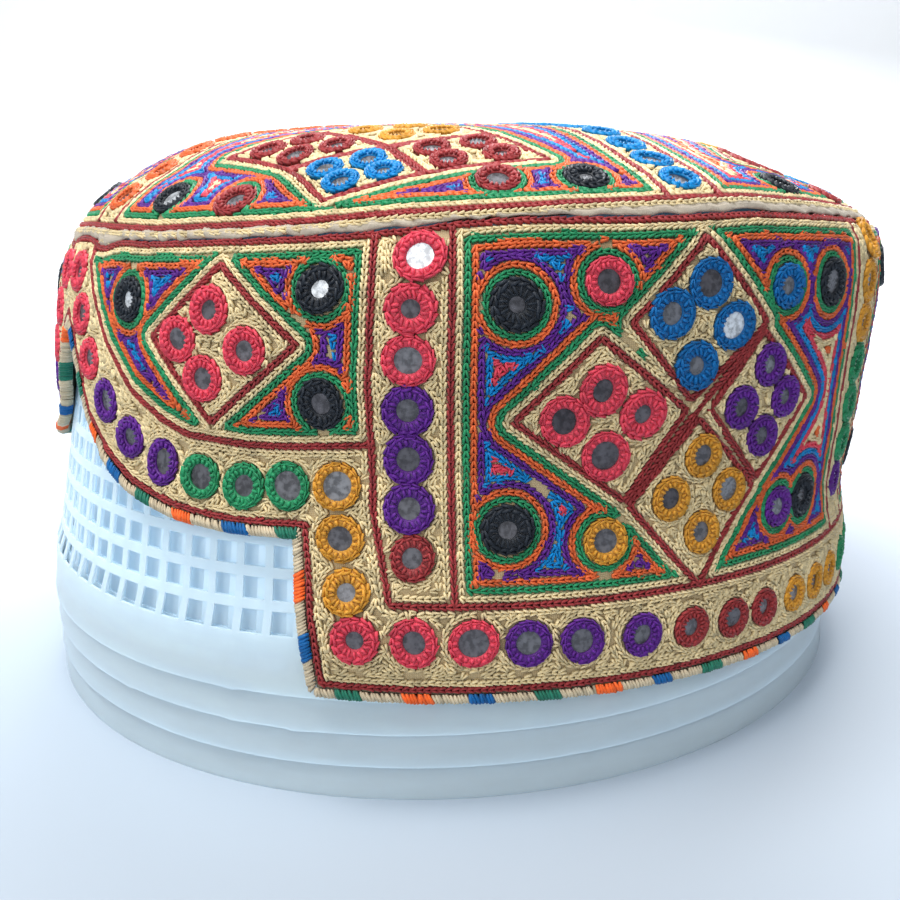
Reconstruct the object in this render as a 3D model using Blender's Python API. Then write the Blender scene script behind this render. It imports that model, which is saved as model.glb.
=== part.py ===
"""Balochi cap with an arched front, set over a stack of four nested plastic baskets.

The front of the cap faces -Y. Azimuths are counted from the front, positive towards +X.
The wall of the cap leans back over the stand, so its radius is measured from the axis of the stand
and grows from the front to the back.
"""
from collections import namedtuple
from math import cos, pi, radians, sin

import bpy
import bmesh
import numpy as np
from mathutils import Matrix, Vector

MM = 0.001

# Cap: driving sizes
BAND_RADIUS = 96.9 * MM          # outside of the embroidered wall at its fullest
BAND_LEAN = 11.5 * MM            # how far the top of the wall sits behind the axis of the stand
CLOTH = 2.0 * MM                 # quilted and embroidered cloth
SEAM_HEIGHT = 100.0 * MM         # seam between wall and crown, above the floor
SEAM_WAVE = 3.0 * MM             # how far the seam rises and falls round the cap
HEM_HEIGHT = 19.3 * MM           # cut edge of the wall at the sides
HEM_TILT = 4.5 * MM              # the hem is higher by this at the front and lower at the back
CROWN_RISE = 20.5 * MM           # from SEAM_HEIGHT to the top of the crown
PIPING_HEIGHT = 1.8 * MM         # gathered strip in the seam
PIPING_PROUD = 0.2 * MM
BINDING_WIDTH = 1.6 * MM         # whipped binding under the cut edge
BINDING_PROUD = 0.3 * MM
GAP = 0.3 * MM                   # between pieces that touch on the real cap
CROWN_HEIGHT = SEAM_HEIGHT + CROWN_RISE

# Front arch
ARCH_WIDTH = 90.0                # degrees between the two steps
STEP_LEAN = 1.6                  # degrees by which each step slants outwards on its way down
ARCH_SHOULDER = 49.7 * MM        # level part of the arch above the floor
ARCH_RISE = 32.8 * MM            # from the shoulder to the point

# Mirror rings in the upright columns
COLUMN_AZIMUTHS = (-118.25, -56.5, 56.5, 118.25, 180.0)
RINGS_IN_COLUMN = 7
RING_RADIUS = 3.95 * MM
RING_HEIGHT = 0.8 * MM
RING_PITCH = 8.25 * MM
RING_DROP = 6.2 * MM             # from the seam to the middle of the top ring
MIRROR_RADIUS = 2.1 * MM
MIRROR_HEIGHT = 0.3 * MM
RING_SIDES = 10

# Baskets: the cap sits on them, so their rims follow its girth and their tops follow its seam
RIM_EASE = 1.1 * MM              # a rim is smaller than the wall at its fullest by this
RIM_BAND = 12.0 * MM             # height of the flared band above the rim
BAND_TAPER = 1.55 * MM           # the band narrows by this on its way up
SHOULDER_STEP = 1.15 * MM        # ledge between the band and the pierced wall, in and up
SHOULDER_RISE = 1.4 * MM
BASKET_TAPER = 17.4 * MM         # a basket narrows by this from its rim to its flat end
BASKET_WALL = 0.45 * MM
NEST_STEP = 6.36 * MM            # each basket stands this much above the one below
BASKET_COUNT = 4
STACK_DROP = 1.92 * MM           # the top basket ends this much below SEAM_HEIGHT
PLAIN_SEGMENTS = 32
RIM_RADIUS = BAND_RADIUS - RIM_EASE
TOP_RADIUS = RIM_RADIUS - BASKET_TAPER
BASKET_HEIGHT = SEAM_HEIGHT - STACK_DROP - NEST_STEP * (BASKET_COUNT - 1)

# Square holes of the top basket, behind the arch
HOLE_PITCH = 3.75                # degrees from hole to hole
HOLE_WIDTH = 4.2 * MM
HOLE_HEIGHT = 3.9 * MM
HOLE_ROW_STEP = 5.75 * MM
HOLE_START = 12.7 * MM           # middle of the lowest row above the rim of its basket
HOLE_ROWS = 9

BACK_SEGMENTS = 54               # facets of the wall from step to step round the back
CROWN_SEGMENTS = 46

# Profile of the wall: share of the height from hem to seam, of BAND_RADIUS and of BAND_LEAN
WallRow = namedtuple("WallRow", "height girth lean")
WALL = [
    WallRow(0.00, 1.0175, 0.07),
    WallRow(0.11, 1.0175, 0.07),
    WallRow(0.18, 1.0135, 0.09),
    WallRow(0.25, 0.9990, 0.16),
    WallRow(0.32, 0.9920, 0.26),
    WallRow(0.47, 0.9920, 0.59),
    WallRow(0.57, 0.9950, 0.65),
    WallRow(0.66, 0.9990, 0.73),
    WallRow(0.765, 1.000, 0.84),
    WallRow(0.846, 0.997, 0.92),
    WallRow(0.915, 0.987, 0.98),
    WallRow(0.954, 0.969, 1.00),
    WallRow(1.00, 0.936, 0.88),
]
# Levels of the wall's facets: share of the way from the cut edge to the seam
WALL_LEVELS = (0.0, 0.11, 0.20, 0.32, 0.47, 0.66, 0.82, 0.92, 1.0)

# Seam: azimuth as a share of half a turn, and share of SEAM_WAVE
SeamRow = namedtuple("SeamRow", "turn wave")
SEAM = [
    SeamRow(0.00, 0.15),
    SeamRow(0.11, -0.27),
    SeamRow(0.25, 0.20),
    SeamRow(0.42, 0.63),
    SeamRow(0.53, 0.67),
    SeamRow(0.61, 0.10),
    SeamRow(0.70, -0.70),
    SeamRow(0.83, -0.90),
    SeamRow(1.00, -1.00),
]

# Arch: share of half the arch's width, and of its rise
ArchRow = namedtuple("ArchRow", "width rise")
ARCH = [
    ArchRow(0.000, 1.000),
    ArchRow(0.055, 0.900),
    ArchRow(0.120, 0.700),
    ArchRow(0.180, 0.430),
    ArchRow(0.290, 0.243),
    ArchRow(0.440, 0.114),
    ArchRow(0.620, 0.030),
    ArchRow(0.800, 0.000),
    ArchRow(1.000, 0.000),
]

# Crown: share of the way from its middle to the seam, and of its rise at the front and at the back
CrownRow = namedtuple("CrownRow", "reach front back")
CROWN = [
    CrownRow(1.000, 0.00, 0.00),
    CrownRow(0.940, 0.25, 0.19),
    CrownRow(0.885, 0.42, 0.32),
    CrownRow(0.780, 0.68, 0.50),
    CrownRow(0.660, 0.865, 0.72),
    CrownRow(0.430, 0.965, 0.93),
]


def column(table, name):
    """One named column of a table, as an array."""
    return np.array([getattr(row, name) for row in table])


def seam_height(azimuth):
    """Height of the seam above the floor at an azimuth in degrees."""
    turn = abs((azimuth + 180.0) % 360.0 - 180.0) / 180.0
    return SEAM_HEIGHT + SEAM_WAVE * np.interp(turn, column(SEAM, "turn"), column(SEAM, "wave"))


def hem_height(azimuth):
    """Height of the cut edge as if the front had no arch."""
    return HEM_HEIGHT + HEM_TILT * cos(radians(azimuth))


def arch_height(azimuth):
    """Height of the arch's edge between the two steps."""
    share = abs(azimuth) / (ARCH_WIDTH / 2)
    return ARCH_SHOULDER + ARCH_RISE * np.interp(share, column(ARCH, "width"), column(ARCH, "rise"))


def edge_height(azimuth):
    """Height of the wall's cut edge, arch included."""
    return arch_height(azimuth) if abs(azimuth) <= ARCH_WIDTH / 2 else hem_height(azimuth)


def wall_radius(azimuth, height):
    """Outer radius of the wall about the axis of the stand."""
    low, high = hem_height(azimuth), seam_height(azimuth)
    share = min(max((height - low) / (high - low), 0.0), 1.0)
    girth = BAND_RADIUS * np.interp(share, column(WALL, "height"), column(WALL, "girth"))
    lean = BAND_LEAN * np.interp(share, column(WALL, "height"), column(WALL, "lean"))
    return girth - lean * cos(radians(azimuth))


def on_wall(azimuth, height, out=0.0):
    """Point on the wall's outer face, moved outwards by a distance."""
    radius = wall_radius(azimuth, height) + out
    return Vector((radius * sin(radians(azimuth)), -radius * cos(radians(azimuth)), height))


def wall_azimuths():
    """Azimuths of the wall's facets, once round, with the arch's points and steps among them."""
    half = ARCH_WIDTH / 2
    arch = [half * row.width for row in ARCH]
    back_start = half + STEP_LEAN
    stride = (360.0 - 2 * back_start) / BACK_SEGMENTS
    back = [back_start + stride * i for i in range(BACK_SEGMENTS + 1)]
    return [-a for a in reversed(arch[1:])] + arch + back


def make_material(name, colour, roughness):
    material = bpy.data.materials.new(name)
    material.use_nodes = True
    shader = material.node_tree.nodes["Principled BSDF"]
    shader.inputs["Base Color"].default_value = (*colour, 1.0)
    shader.inputs["Roughness"].default_value = roughness
    shader.inputs["Metallic"].default_value = 0.0
    return material


def make_object(name, points, faces, parent, material=None):
    """A closed mesh from points and faces, triangulated, with its normals outwards."""
    mesh = bpy.data.meshes.new(name)
    mesh.from_pydata([tuple(p) for p in points], [], faces)
    work = bmesh.new()
    work.from_mesh(mesh)
    bmesh.ops.triangulate(work, faces=work.faces)
    bmesh.ops.recalc_face_normals(work, faces=work.faces)
    work.to_mesh(mesh)
    work.free()
    if material:
        mesh.materials.append(material)
        mesh.shade_smooth()
        mesh.set_sharp_from_angle(angle=radians(40.0))
    thing = bpy.data.objects.new(name, mesh)
    bpy.context.collection.objects.link(thing)
    thing.parent = parent
    return thing


def ring_of_faces(rings, count, closed=True):
    """Quads between neighbouring rings of count points; the last ring joins the first if closed."""
    pairs = list(zip(rings, rings[1:] + rings[:1])) if closed else list(zip(rings, rings[1:]))
    return [(a * count + i, a * count + (i + 1) % count, b * count + (i + 1) % count, b * count + i)
            for a, b in pairs for i in range(count)]


def make_band(parent, material):
    """Embroidered wall: an outer and an inner face between the cut edge and the seam."""
    azimuths = wall_azimuths()[:-1]
    outer, inner = [], []
    for level in WALL_LEVELS:
        for azimuth in azimuths:
            low = edge_height(azimuth)
            high = seam_height(azimuth) - PIPING_HEIGHT - 2 * GAP
            height = low + (high - low) * level
            outer.append(on_wall(azimuth, height))
            inner.append(on_wall(azimuth, height, -CLOTH))
    rows, count = len(WALL_LEVELS), len(azimuths)
    rings = list(range(rows)) + [2 * rows - 1 - i for i in range(rows)]
    return make_object("side_band", outer + inner, ring_of_faces(rings, count), parent, material)


def add_mirror_rings(band, parent):
    """Raises the columns of mirror rings on the wall: low rings that slope in to a flat mirror."""
    points, faces = [], []
    circle = [2 * pi * i / RING_SIDES for i in range(RING_SIDES)]
    sections = ((RING_RADIUS, -CLOTH / 2), (RING_RADIUS, RING_HEIGHT), (MIRROR_RADIUS, MIRROR_HEIGHT))
    for azimuth in COLUMN_AZIMUTHS:
        for index in range(RINGS_IN_COLUMN):
            height = seam_height(azimuth) - RING_DROP - RING_PITCH * index
            middle = on_wall(azimuth, height)
            up = (on_wall(azimuth, height + RING_PITCH / 2) - on_wall(azimuth, height - RING_PITCH / 2))
            up.normalize()
            side = Vector((cos(radians(azimuth)), sin(radians(azimuth)), 0.0))
            out = side.cross(up).normalized()
            start = len(points)
            for radius, lift in sections:
                points += [middle + side * radius * cos(t) + up * radius * sin(t) + out * lift
                           for t in circle]
            faces += [tuple(start + i for i in face)
                      for face in ring_of_faces(list(range(len(sections))), RING_SIDES, closed=False)]
            faces.append(tuple(start + i for i in range(RING_SIDES)))
            faces.append(tuple(start + (len(sections) - 1) * RING_SIDES + i for i in range(RING_SIDES)))
    rings = make_object("mirror_ring_shapes", points, faces, parent)
    hide_guide(rings)
    union = band.modifiers.new("mirror rings", "BOOLEAN")
    union.operation = "UNION"
    union.solver = "EXACT"
    union.object = rings


def hide_guide(thing):
    thing.hide_render = True
    thing.display_type = "WIRE"


def make_piping(parent, material):
    """Strip between the top of the wall and the edge of the crown."""
    azimuths = wall_azimuths()[:-1]
    sections = ((GAP + PIPING_HEIGHT, PIPING_PROUD), (GAP, PIPING_PROUD),
                (GAP, -CLOTH), (GAP + PIPING_HEIGHT, -CLOTH))
    points = [on_wall(azimuth, seam_height(azimuth) - drop, out)
              for drop, out in sections for azimuth in azimuths]
    faces = ring_of_faces(list(range(len(sections))), len(azimuths))
    return make_object("crown_piping", points, faces, parent, material)


def crown_frame(azimuth):
    """Seam point and middle of the crown at the height of the seam."""
    seam = on_wall(azimuth, seam_height(azimuth))
    lean = BAND_LEAN * WALL[-1].lean
    return seam, Vector((0.0, lean, seam.z))


def crown_profile(azimuth):
    """Outer points of the crown from the seam to its last ring, and the inner ones under them."""
    seam, middle = crown_frame(azimuth)
    reach = seam - middle
    length = reach.length
    forward = (1.0 + cos(radians(azimuth))) / 2
    rise = CROWN_HEIGHT - seam.z
    outer = [(length * row.reach, seam.z + rise * (row.front * forward + row.back * (1 - forward)))
             for row in CROWN]
    tops = outer + [(0.0, CROWN_HEIGHT)]
    inner = [(outer[0][0] - CLOTH, outer[0][1])]
    for before, here, after in zip(tops, tops[1:], tops[2:]):
        slope = Vector((before[0] - after[0], after[1] - before[1])).normalized()
        inner.append((here[0] - CLOTH * slope.y, here[1] - CLOTH * slope.x))
    heading = reach.normalized()
    place = [Vector((middle.x, middle.y, z)) + heading * r for r, z in outer]
    under = [Vector((middle.x, middle.y, z)) + heading * r for r, z in inner]
    return place, under, middle


def make_crown(parent, material):
    """Domed top: rings of points from the seam to the middle, above and below."""
    profiles = [crown_profile(360.0 * i / CROWN_SEGMENTS - 180.0) for i in range(CROWN_SEGMENTS)]
    rows = len(CROWN)
    points = [profile[side][row] for side in (0, 1) for row in range(rows) for profile in profiles]
    top = Vector((0.0, profiles[0][2].y, CROWN_HEIGHT))
    points += [top, top - Vector((0.0, 0.0, CLOTH))]
    above, below = len(points) - 2, len(points) - 1
    faces = ring_of_faces(list(range(rows)), CROWN_SEGMENTS, closed=False)
    faces += ring_of_faces(list(range(rows, 2 * rows)), CROWN_SEGMENTS, closed=False)
    faces += ring_of_faces([rows, 0], CROWN_SEGMENTS, closed=False)
    for i in range(CROWN_SEGMENTS):
        j = (i + 1) % CROWN_SEGMENTS
        faces.append(((rows - 1) * CROWN_SEGMENTS + i, (rows - 1) * CROWN_SEGMENTS + j, above))
        faces.append(((2 * rows - 1) * CROWN_SEGMENTS + i, (2 * rows - 1) * CROWN_SEGMENTS + j, below))
    return make_object("crown", points, faces, parent, material)


def edge_offsets(path):
    """Mitred direction away from the cloth at each point of the unrolled, closed cut edge."""
    period = 2 * pi * BAND_RADIUS
    offsets = []
    for i, here in enumerate(path):
        before = path[i - 1] - here
        after = path[(i + 1) % len(path)] - here
        before.x = (before.x + period / 2) % period - period / 2
        after.x = (after.x + period / 2) % period - period / 2
        back = Vector((-before.y, before.x)).normalized()
        ahead = Vector((after.y, -after.x)).normalized()
        miter = (back + ahead).normalized()
        offsets.append(miter / max(miter.dot(ahead), 0.6))
    return offsets


def make_edging(parent, material):
    """Binding along the hem, up the steps and round the arch, just clear of the cut edge."""
    azimuths = wall_azimuths()[:-1]
    path = [Vector((radians(a) * BAND_RADIUS, edge_height(a))) for a in azimuths]
    offsets = edge_offsets(path)
    sections = ((GAP, BINDING_PROUD), (GAP + BINDING_WIDTH, BINDING_PROUD),
                (GAP + BINDING_WIDTH, -CLOTH), (GAP, -CLOTH))
    points = []
    for away, out in sections:
        for here, offset in zip(path, offsets):
            flat = here + offset * away
            points.append(on_wall(flat.x / BAND_RADIUS * 180.0 / pi, flat.y, out))
    faces = ring_of_faces(list(range(len(sections))), len(azimuths))
    return make_object("hem_edging", points, faces, parent, material)


def basket_profile():
    """Outer profile of a basket above its own rim: height and radius, rim first."""
    band_top = RIM_RADIUS - BAND_TAPER
    return [(0.0, RIM_RADIUS), (RIM_BAND, band_top),
            (RIM_BAND + SHOULDER_RISE, band_top - SHOULDER_STEP), (BASKET_HEIGHT, TOP_RADIUS)]


def make_basket(name, rim_height, segments, first_azimuth, parent, material):
    """Upturned basket: an outer and an inner profile turned round the axis, with a flat top."""
    outer = basket_profile()
    inner = [(z, r - BASKET_WALL) for z, r in outer[:-1]]
    inner.append((BASKET_HEIGHT - BASKET_WALL, TOP_RADIUS - BASKET_WALL))
    profile = outer[::-1] + inner
    points = []
    for z, r in profile:
        for i in range(segments):
            angle = radians(first_azimuth + 360.0 * i / segments)
            points.append(Vector((r * sin(angle), -r * cos(angle), rim_height + z)))
    faces = ring_of_faces(list(range(len(profile))), segments, closed=False)
    faces.append(tuple(range(segments)))
    faces.append(tuple((len(profile) - 1) * segments + i for i in range(segments)))
    return make_object(name, points, faces, parent, material)


def cut_holes(basket, rim_height, parent):
    """Cuts the square holes that the arch leaves in view."""
    points, faces = [], []
    reach = int((ARCH_WIDTH / 2 - HOLE_PITCH / 2) / HOLE_PITCH)
    heights, radii = zip(*basket_profile())
    for row in range(HOLE_ROWS):
        level = HOLE_START + HOLE_ROW_STEP * row
        height = rim_height + level
        radius = np.interp(level, heights, radii)
        for step in range(-reach, reach + 1):
            azimuth = HOLE_PITCH * step
            if height > arch_height(azimuth) - GAP - BINDING_WIDTH:
                continue
            turn = Matrix.Rotation(radians(azimuth), 4, "Z")
            start = len(points)
            for z in (-HOLE_HEIGHT / 2, HOLE_HEIGHT / 2):
                for x, y in ((-1, -1), (1, -1), (1, 1), (-1, 1)):
                    corner = Vector((x * HOLE_WIDTH / 2, -radius + y * 3 * BAND_TAPER, height + z))
                    points.append(turn @ corner)
            box = ring_of_faces([0, 1], 4, closed=False) + [(3, 2, 1, 0), (4, 5, 6, 7)]
            faces += [tuple(start + i for i in face) for face in box]
    cutter = make_object("hole_cutter", points, faces, parent)
    hide_guide(cutter)
    cut = basket.modifiers.new("square holes", "BOOLEAN")
    cut.operation = "DIFFERENCE"
    cut.solver = "EXACT"
    cut.object = cutter


def centre_on_floor(root, things):
    """Moves the whole model so that the middle of its foot is the origin."""
    bpy.context.view_layer.update()
    graph = bpy.context.evaluated_depsgraph_get()
    corners = []
    for thing in things:
        mesh = thing.evaluated_get(graph).to_mesh()
        corners += [thing.matrix_world @ vertex.co for vertex in mesh.vertices]
    low = [min(c[i] for c in corners) for i in range(3)]
    high = [max(c[i] for c in corners) for i in range(3)]
    root.location = (-(low[0] + high[0]) / 2, -(low[1] + high[1]) / 2, -low[2])
    bpy.context.view_layer.update()


def main():
    for thing in list(bpy.data.objects):
        bpy.data.objects.remove(thing)
    root = bpy.data.objects.new("cap_on_baskets", None)
    bpy.context.collection.objects.link(root)

    embroidery = make_material("embroidered band", (0.62, 0.20, 0.16), 0.75)
    crown_cloth = make_material("embroidered crown", (0.70, 0.52, 0.28), 0.75)
    strip = make_material("off-white strip", (0.72, 0.62, 0.50), 0.8)
    thread = make_material("whipped thread", (0.68, 0.58, 0.40), 0.7)

    band = make_band(root, embroidery)
    add_mirror_rings(band, root)
    things = [band, make_crown(root, crown_cloth), make_piping(root, strip), make_edging(root, thread)]
    for index in range(BASKET_COUNT):
        rim_height = NEST_STEP * (BASKET_COUNT - 1 - index)
        plastic = make_material(f"white plastic {index + 1}", (0.80, 0.87, 0.93), 0.35)
        name = f"basket_{index + 1}"
        if index == 0:
            pierced_segments = round(180.0 / HOLE_PITCH)
            basket = make_basket(name, rim_height, pierced_segments, HOLE_PITCH / 2, root, plastic)
            cut_holes(basket, rim_height, root)
        else:
            basket = make_basket(name, rim_height, PLAIN_SEGMENTS, 0.0, root, plastic)
        things.append(basket)
    centre_on_floor(root, things)


main()
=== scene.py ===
"""Looks of the embroidered cap on its stack of baskets: chain-stitched thread, crocheted mirror rings,
gathered piping, whipped hem and thin white plastic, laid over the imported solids.
"""
import math

import bpy
import numpy as np
from bpy.props import FloatProperty, FloatVectorProperty, PointerProperty
from mathutils import Matrix, Vector
from mathutils.kdtree import KDTree


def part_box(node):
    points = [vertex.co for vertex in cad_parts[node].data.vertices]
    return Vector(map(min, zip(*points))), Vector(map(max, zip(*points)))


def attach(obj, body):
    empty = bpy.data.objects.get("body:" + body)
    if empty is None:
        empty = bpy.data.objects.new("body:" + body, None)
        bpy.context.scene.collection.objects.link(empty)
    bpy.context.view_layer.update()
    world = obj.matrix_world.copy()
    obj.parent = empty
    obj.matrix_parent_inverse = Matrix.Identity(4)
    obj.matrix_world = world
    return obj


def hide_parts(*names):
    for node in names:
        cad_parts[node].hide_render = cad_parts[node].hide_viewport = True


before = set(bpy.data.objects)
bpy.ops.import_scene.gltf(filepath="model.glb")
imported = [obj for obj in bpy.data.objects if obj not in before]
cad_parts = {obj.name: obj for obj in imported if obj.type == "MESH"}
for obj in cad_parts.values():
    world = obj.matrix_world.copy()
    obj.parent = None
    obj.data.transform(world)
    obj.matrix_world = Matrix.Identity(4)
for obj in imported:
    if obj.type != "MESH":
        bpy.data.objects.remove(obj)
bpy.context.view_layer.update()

bl_info = {
    "name": "Embroidered Cap",
    "version": (1, 0, 0),
    "blender": (4, 5, 0),
    "location": "3D View > Sidebar > Cap",
    "description": "Chain-stitched cap with mirror rings over a stack of plastic baskets",
    "category": "Object",
}

MM = 0.001
STAND_Y = (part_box("basket_4")[0][1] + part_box("basket_4")[1][1]) / 2 / MM  # axis of the stand, in mm

# Form of the cloth and the baskets, in millimetres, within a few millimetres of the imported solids
BAND_RADIUS = 96.9
BAND_LEAN = 11.5
CLOTH = 2.0                      # thickness
SEAM_HEIGHT = 100.0
SEAM_WAVE = 3.0
HEM_HEIGHT = 19.3
HEM_TILT = 4.5
CROWN_HEIGHT = 119.3             # top of the crown above the floor
GAP = 0.3
PIPING_HEIGHT = 1.8
BINDING_WIDTH = 1.6
ARCH_WIDTH = 88.2                # degrees between the two steps
STEP_LEAN = 1.6                  # degrees by which a step slants outwards on its way down
ARCH_SHOULDER = 49.7
ARCH_RISE = 32.8                 # from the shoulder to the point
# Shares of the wall's height, and the share of the radius and of the lean there; then the seam's wave
# over half a turn, the arch's height from its point to a step, and the crown's two profiles outwards
WALL_HEIGHT = (0, .11, .18, .25, .32, .47, .57, .66, .765, .846, .915, .954, 1)
WALL_GIRTH = (1.0175, 1.0175, 1.0135, .999, .992, .992, .995, .999, 1, .997, .987, .969, .936)
WALL_LEAN = (.07, .07, .09, .16, .26, .59, .65, .73, .84, .92, .98, 1, .88)
SEAM_TURN = (0, .11, .25, .42, .53, .61, .70, .83, 1)
SEAM_RISE = (.15, -.08, .20, .63, .67, .10, -.70, -.90, -1)
ARCH_SHARE = (0, .055, .12, .18, .29, .44, .62, .8, 1)
ARCH_LIFT = (1, .9, .7, .43, .243, .114, .03, 0, 0)
CROWN_REACH = (0, .43, .66, .78, .885, .94, 1)
CROWN_FRONT = (1, .98, .89, .74, .44, .33, 0)
CROWN_BACK = (1, .78, .63, .37, .21, .13, 0)
BASKET_COUNT = 4
NEST_STEP = 6.36                 # each basket stands this much above the one below
BASKET_HEIGHT = 79.0
RIM_RADIUS = 95.8
RIM_BAND = 12.0
BAND_TAPER = 1.55
SHOULDER_STEP = 1.15
SHOULDER_RISE = 1.4
TOP_RADIUS = 78.4                # flat end
BASKET_WALL = 0.45
HOLE_PITCH = 3.75                # degrees from hole to hole
HOLE_WIDTH = 4.2
HOLE_HEIGHT = 3.9
HOLE_ROW_STEP = 5.75
HOLE_START = 12.7                # middle of the lowest row above the rim
HOLE_ROWS = 9
HOLE_TURNS = (0.0, 0.62, 0.28, 0.0)   # each basket's own turn, in holes
HOLE_REACH = 42.6                # degrees to either side of the front that are pierced
PIERCED, PAINTED_GLOW_BASKETS = 2, (1, 2)     # baskets pierced from the top one down, and baskets given a painted glow for the light that comes through the others

# Embroidery layout on the wall: azimuths in degrees from the front, heights in millimetres
COLUMN_HALF = 4.1                # from a ring column's middle to the red line beside it, in degrees
COLUMNS = (
    (-118.25, "gold gold gold green green green purple"),
    (-56.5, "pink pink pink purple purple purple maroon"),
    (56.5, "pink pink pink purple purple purple maroon"),
    (118.25, "gold gold gold green green green purple"),
    (180.0, "pink pink pink royal royal royal maroon"),
)
PAINTED_GLINT_MIRRORS = ((57.9, 94.0), (47.1, 90.0), (91.0, 80.9), (19.9, 86.6))   # wall mirrors painted near white: a painted reflection of the light
COLUMN_RING_TURN = (1.4, 0.26, -0.2, -0.45, -0.6, -0.7, -0.5)   # each ring's own offset, in degrees
COLUMN_SWAY = (                   # offset of a column's two red lines at these shares of its height
    (0.0, 0.25, 0.6, 1.0), (1.15, -0.35, -0.45, 0.65), (-0.5, -0.45, -0.1, 0.8))
COLUMN_RING_DROP = 6.2           # from the seam to the middle of the top ring
COLUMN_RING_PITCH = 8.25
HEM_BORDER_RISE = 15.8           # red line over the hem's ring row, above the cut edge
HEM_RING_RISE = ((0, 2, 7, 22), (9.6, 9.6, 7.8, 7.8))      # by a ring's number from the step
HEM_RING_SHARE = ((0, 2, 6, 22), (0.98, 0.97, 0.86, 0.85))
HEM_RING_SHIFT = (0, 0, 0, -0.45, -0.8, 0, 0.2, 0.3, -0.4, 0, -0.4, -0.8)
CROWN_RING_SHARE = 0.91
HEM_RING_FIRST = 50.0
HEM_RING_COUNT = 45
HEM_GROUPS = "pink purple maroon gold green royal".split()
ARCH_RINGS = (                   # right half of the arch: azimuth, height, thread
    (3.3, 91.6, "pink"), (6.3, 83.6, "pink"), (9.4, 75.4, "pink"),
    (13.7, 67.9, "purple"), (18.9, 61.9, "purple"), (25.1, 58.6, "purple"),
    (31.2, 57.0, "green"), (37.2, 56.3, "green"), (42.6, 56.9, "green"),
    (48.2, 57.2, "gold"), (48.5, 48.5, "gold"), (49.2, 39.8, "gold"),
)
PANEL_LINE = ((5.4, 97.4), (9.8, 88.0), (14.1, 79.0), (16.7, 75.4), (19.8, 70.8), (25.4, 66.3),
              (29.5, 64.2), (38.1, 63.5), (44.2, 63.7), (52.4, 64.3))
FRONT_DIAMOND = ((34.3, 94.0), (44.2, 80.9), (32.9, 66.9), (23.9, 81.1))
FRONT_RINGS = (
    (33.1, 86.4, "pink"), (28.4, 81.1, "pink"), (37.9, 79.7, "pink"), (32.1, 74.6, "pink"),
    (18.9, 87.4, "black"), (47.1, 90.0, "black"), (46.8, 71.2, "black"),
)
SIDE_PANELS = (                  # middle azimuth and threads of its top, left, right and lower diamonds
    (-149.1, "gold", "royal", "pink", "green"),
    (-87.4, "royal", "pink", "purple", "gold"),
    (87.4, "royal", "pink", "purple", "gold"),
    (149.1, "green", "purple", "royal", "pink"),
)
SMALL_DIAMONDS = (               # corners of a panel's four diamonds: degrees from its middle, height
    ((0.9, 96.2), (8.4, 80.8), (-1.2, 68.7), (-8.2, 82.9)),
    ((-11.5, 80.7), (-1.8, 67.1), (-8.9, 52.4), (-20.6, 67.6)),
    ((8.2, 79.4), (16.6, 65.3), (8.6, 52.0), (1.3, 66.6)),
    ((-0.1, 65.2), (8.2, 51.0), (-0.5, 35.2), (-8.4, 51.4)),
)
DIAMOND_JOIN = ((8.3, 80.0), (-0.1, 67.3), (-8.7, 51.9))   # third red row between the diamonds
DIAMOND_RINGS = (                # mm from a panel's middle and up from the floor, in the same order; size
    ((1.1, 88.4), (-6.5, 83.9), (6.2, 80.9), (-1.5, 74.7), 0.99),
    ((-18.9, 72.0), (-25.6, 67.3), (-11.6, 67.3), (-18.4, 60.7), 0.99),
    ((15.7, 73.0), (21.0, 66.4), (9.3, 66.0), (15.2, 59.9), 0.90),
    ((1.0, 58.4), (-5.8, 51.6), (7.3, 51.2), (0.8, 44.4), 0.90),
)
CORNER_RINGS = ((-10.6, 89.8), (11.5, 86.6), (-11.3, 45.9), (13.1, 44.7))
BLACK_RINGS = ((-20.0, 86.8), (19.8, 86.1), (-21.6, 49.5), (18.7, 44.7))
ROW_ORDER = "cream green orange purple blue pink cream orange purple blue pink cream".split()

# Embroidery layout on the crown, in millimetres along the cloth from its middle
CROWN_BANDS = (5.5, 89.5, 180.0, 270.0)
BAND_THREADS = ("orange", "blue", "pink", "green")
CROWN_BAND_HALF = 5.6
CROWN_RING_PITCH = 8.8
CENTRE_RADIUS = 17.0
QUARTERS = (47.5, 135.0, 225.0, 315.0)
DIAMOND_GRID = {                 # corners of a quarter's four diamonds: along the seam, and outwards
    "foot": (-2.4, 90.6), "low_left": (-14.2, 79.0), "low_right": (15.4, 82.2),
    "left": (-33.0, 67.5), "middle": (4.8, 72.0), "right": (36.4, 70.0),
    "high_left": (-15.2, 59.5), "high_right": (23.4, 60.8), "top": (4.0, 47.5),
}
CROWN_DIAMONDS = (
    ("foot", "low_right", "middle", "low_left", "blue"),
    ("low_left", "middle", "high_left", "left", "maroon"),
    ("low_right", "right", "high_right", "middle", "maroon"),
    ("middle", "high_right", "top", "high_left", "gold"),
)
QUARTER_RINGS = (
    (-40.8, 77.5, "black"), (-22.4, 86.2, "maroon"), (28.6, 81.0, "maroon"), (43.2, 74.6, "black"))
CROWN_LINE_INSET = 1.05          # red line of the crown, from its edge

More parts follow.
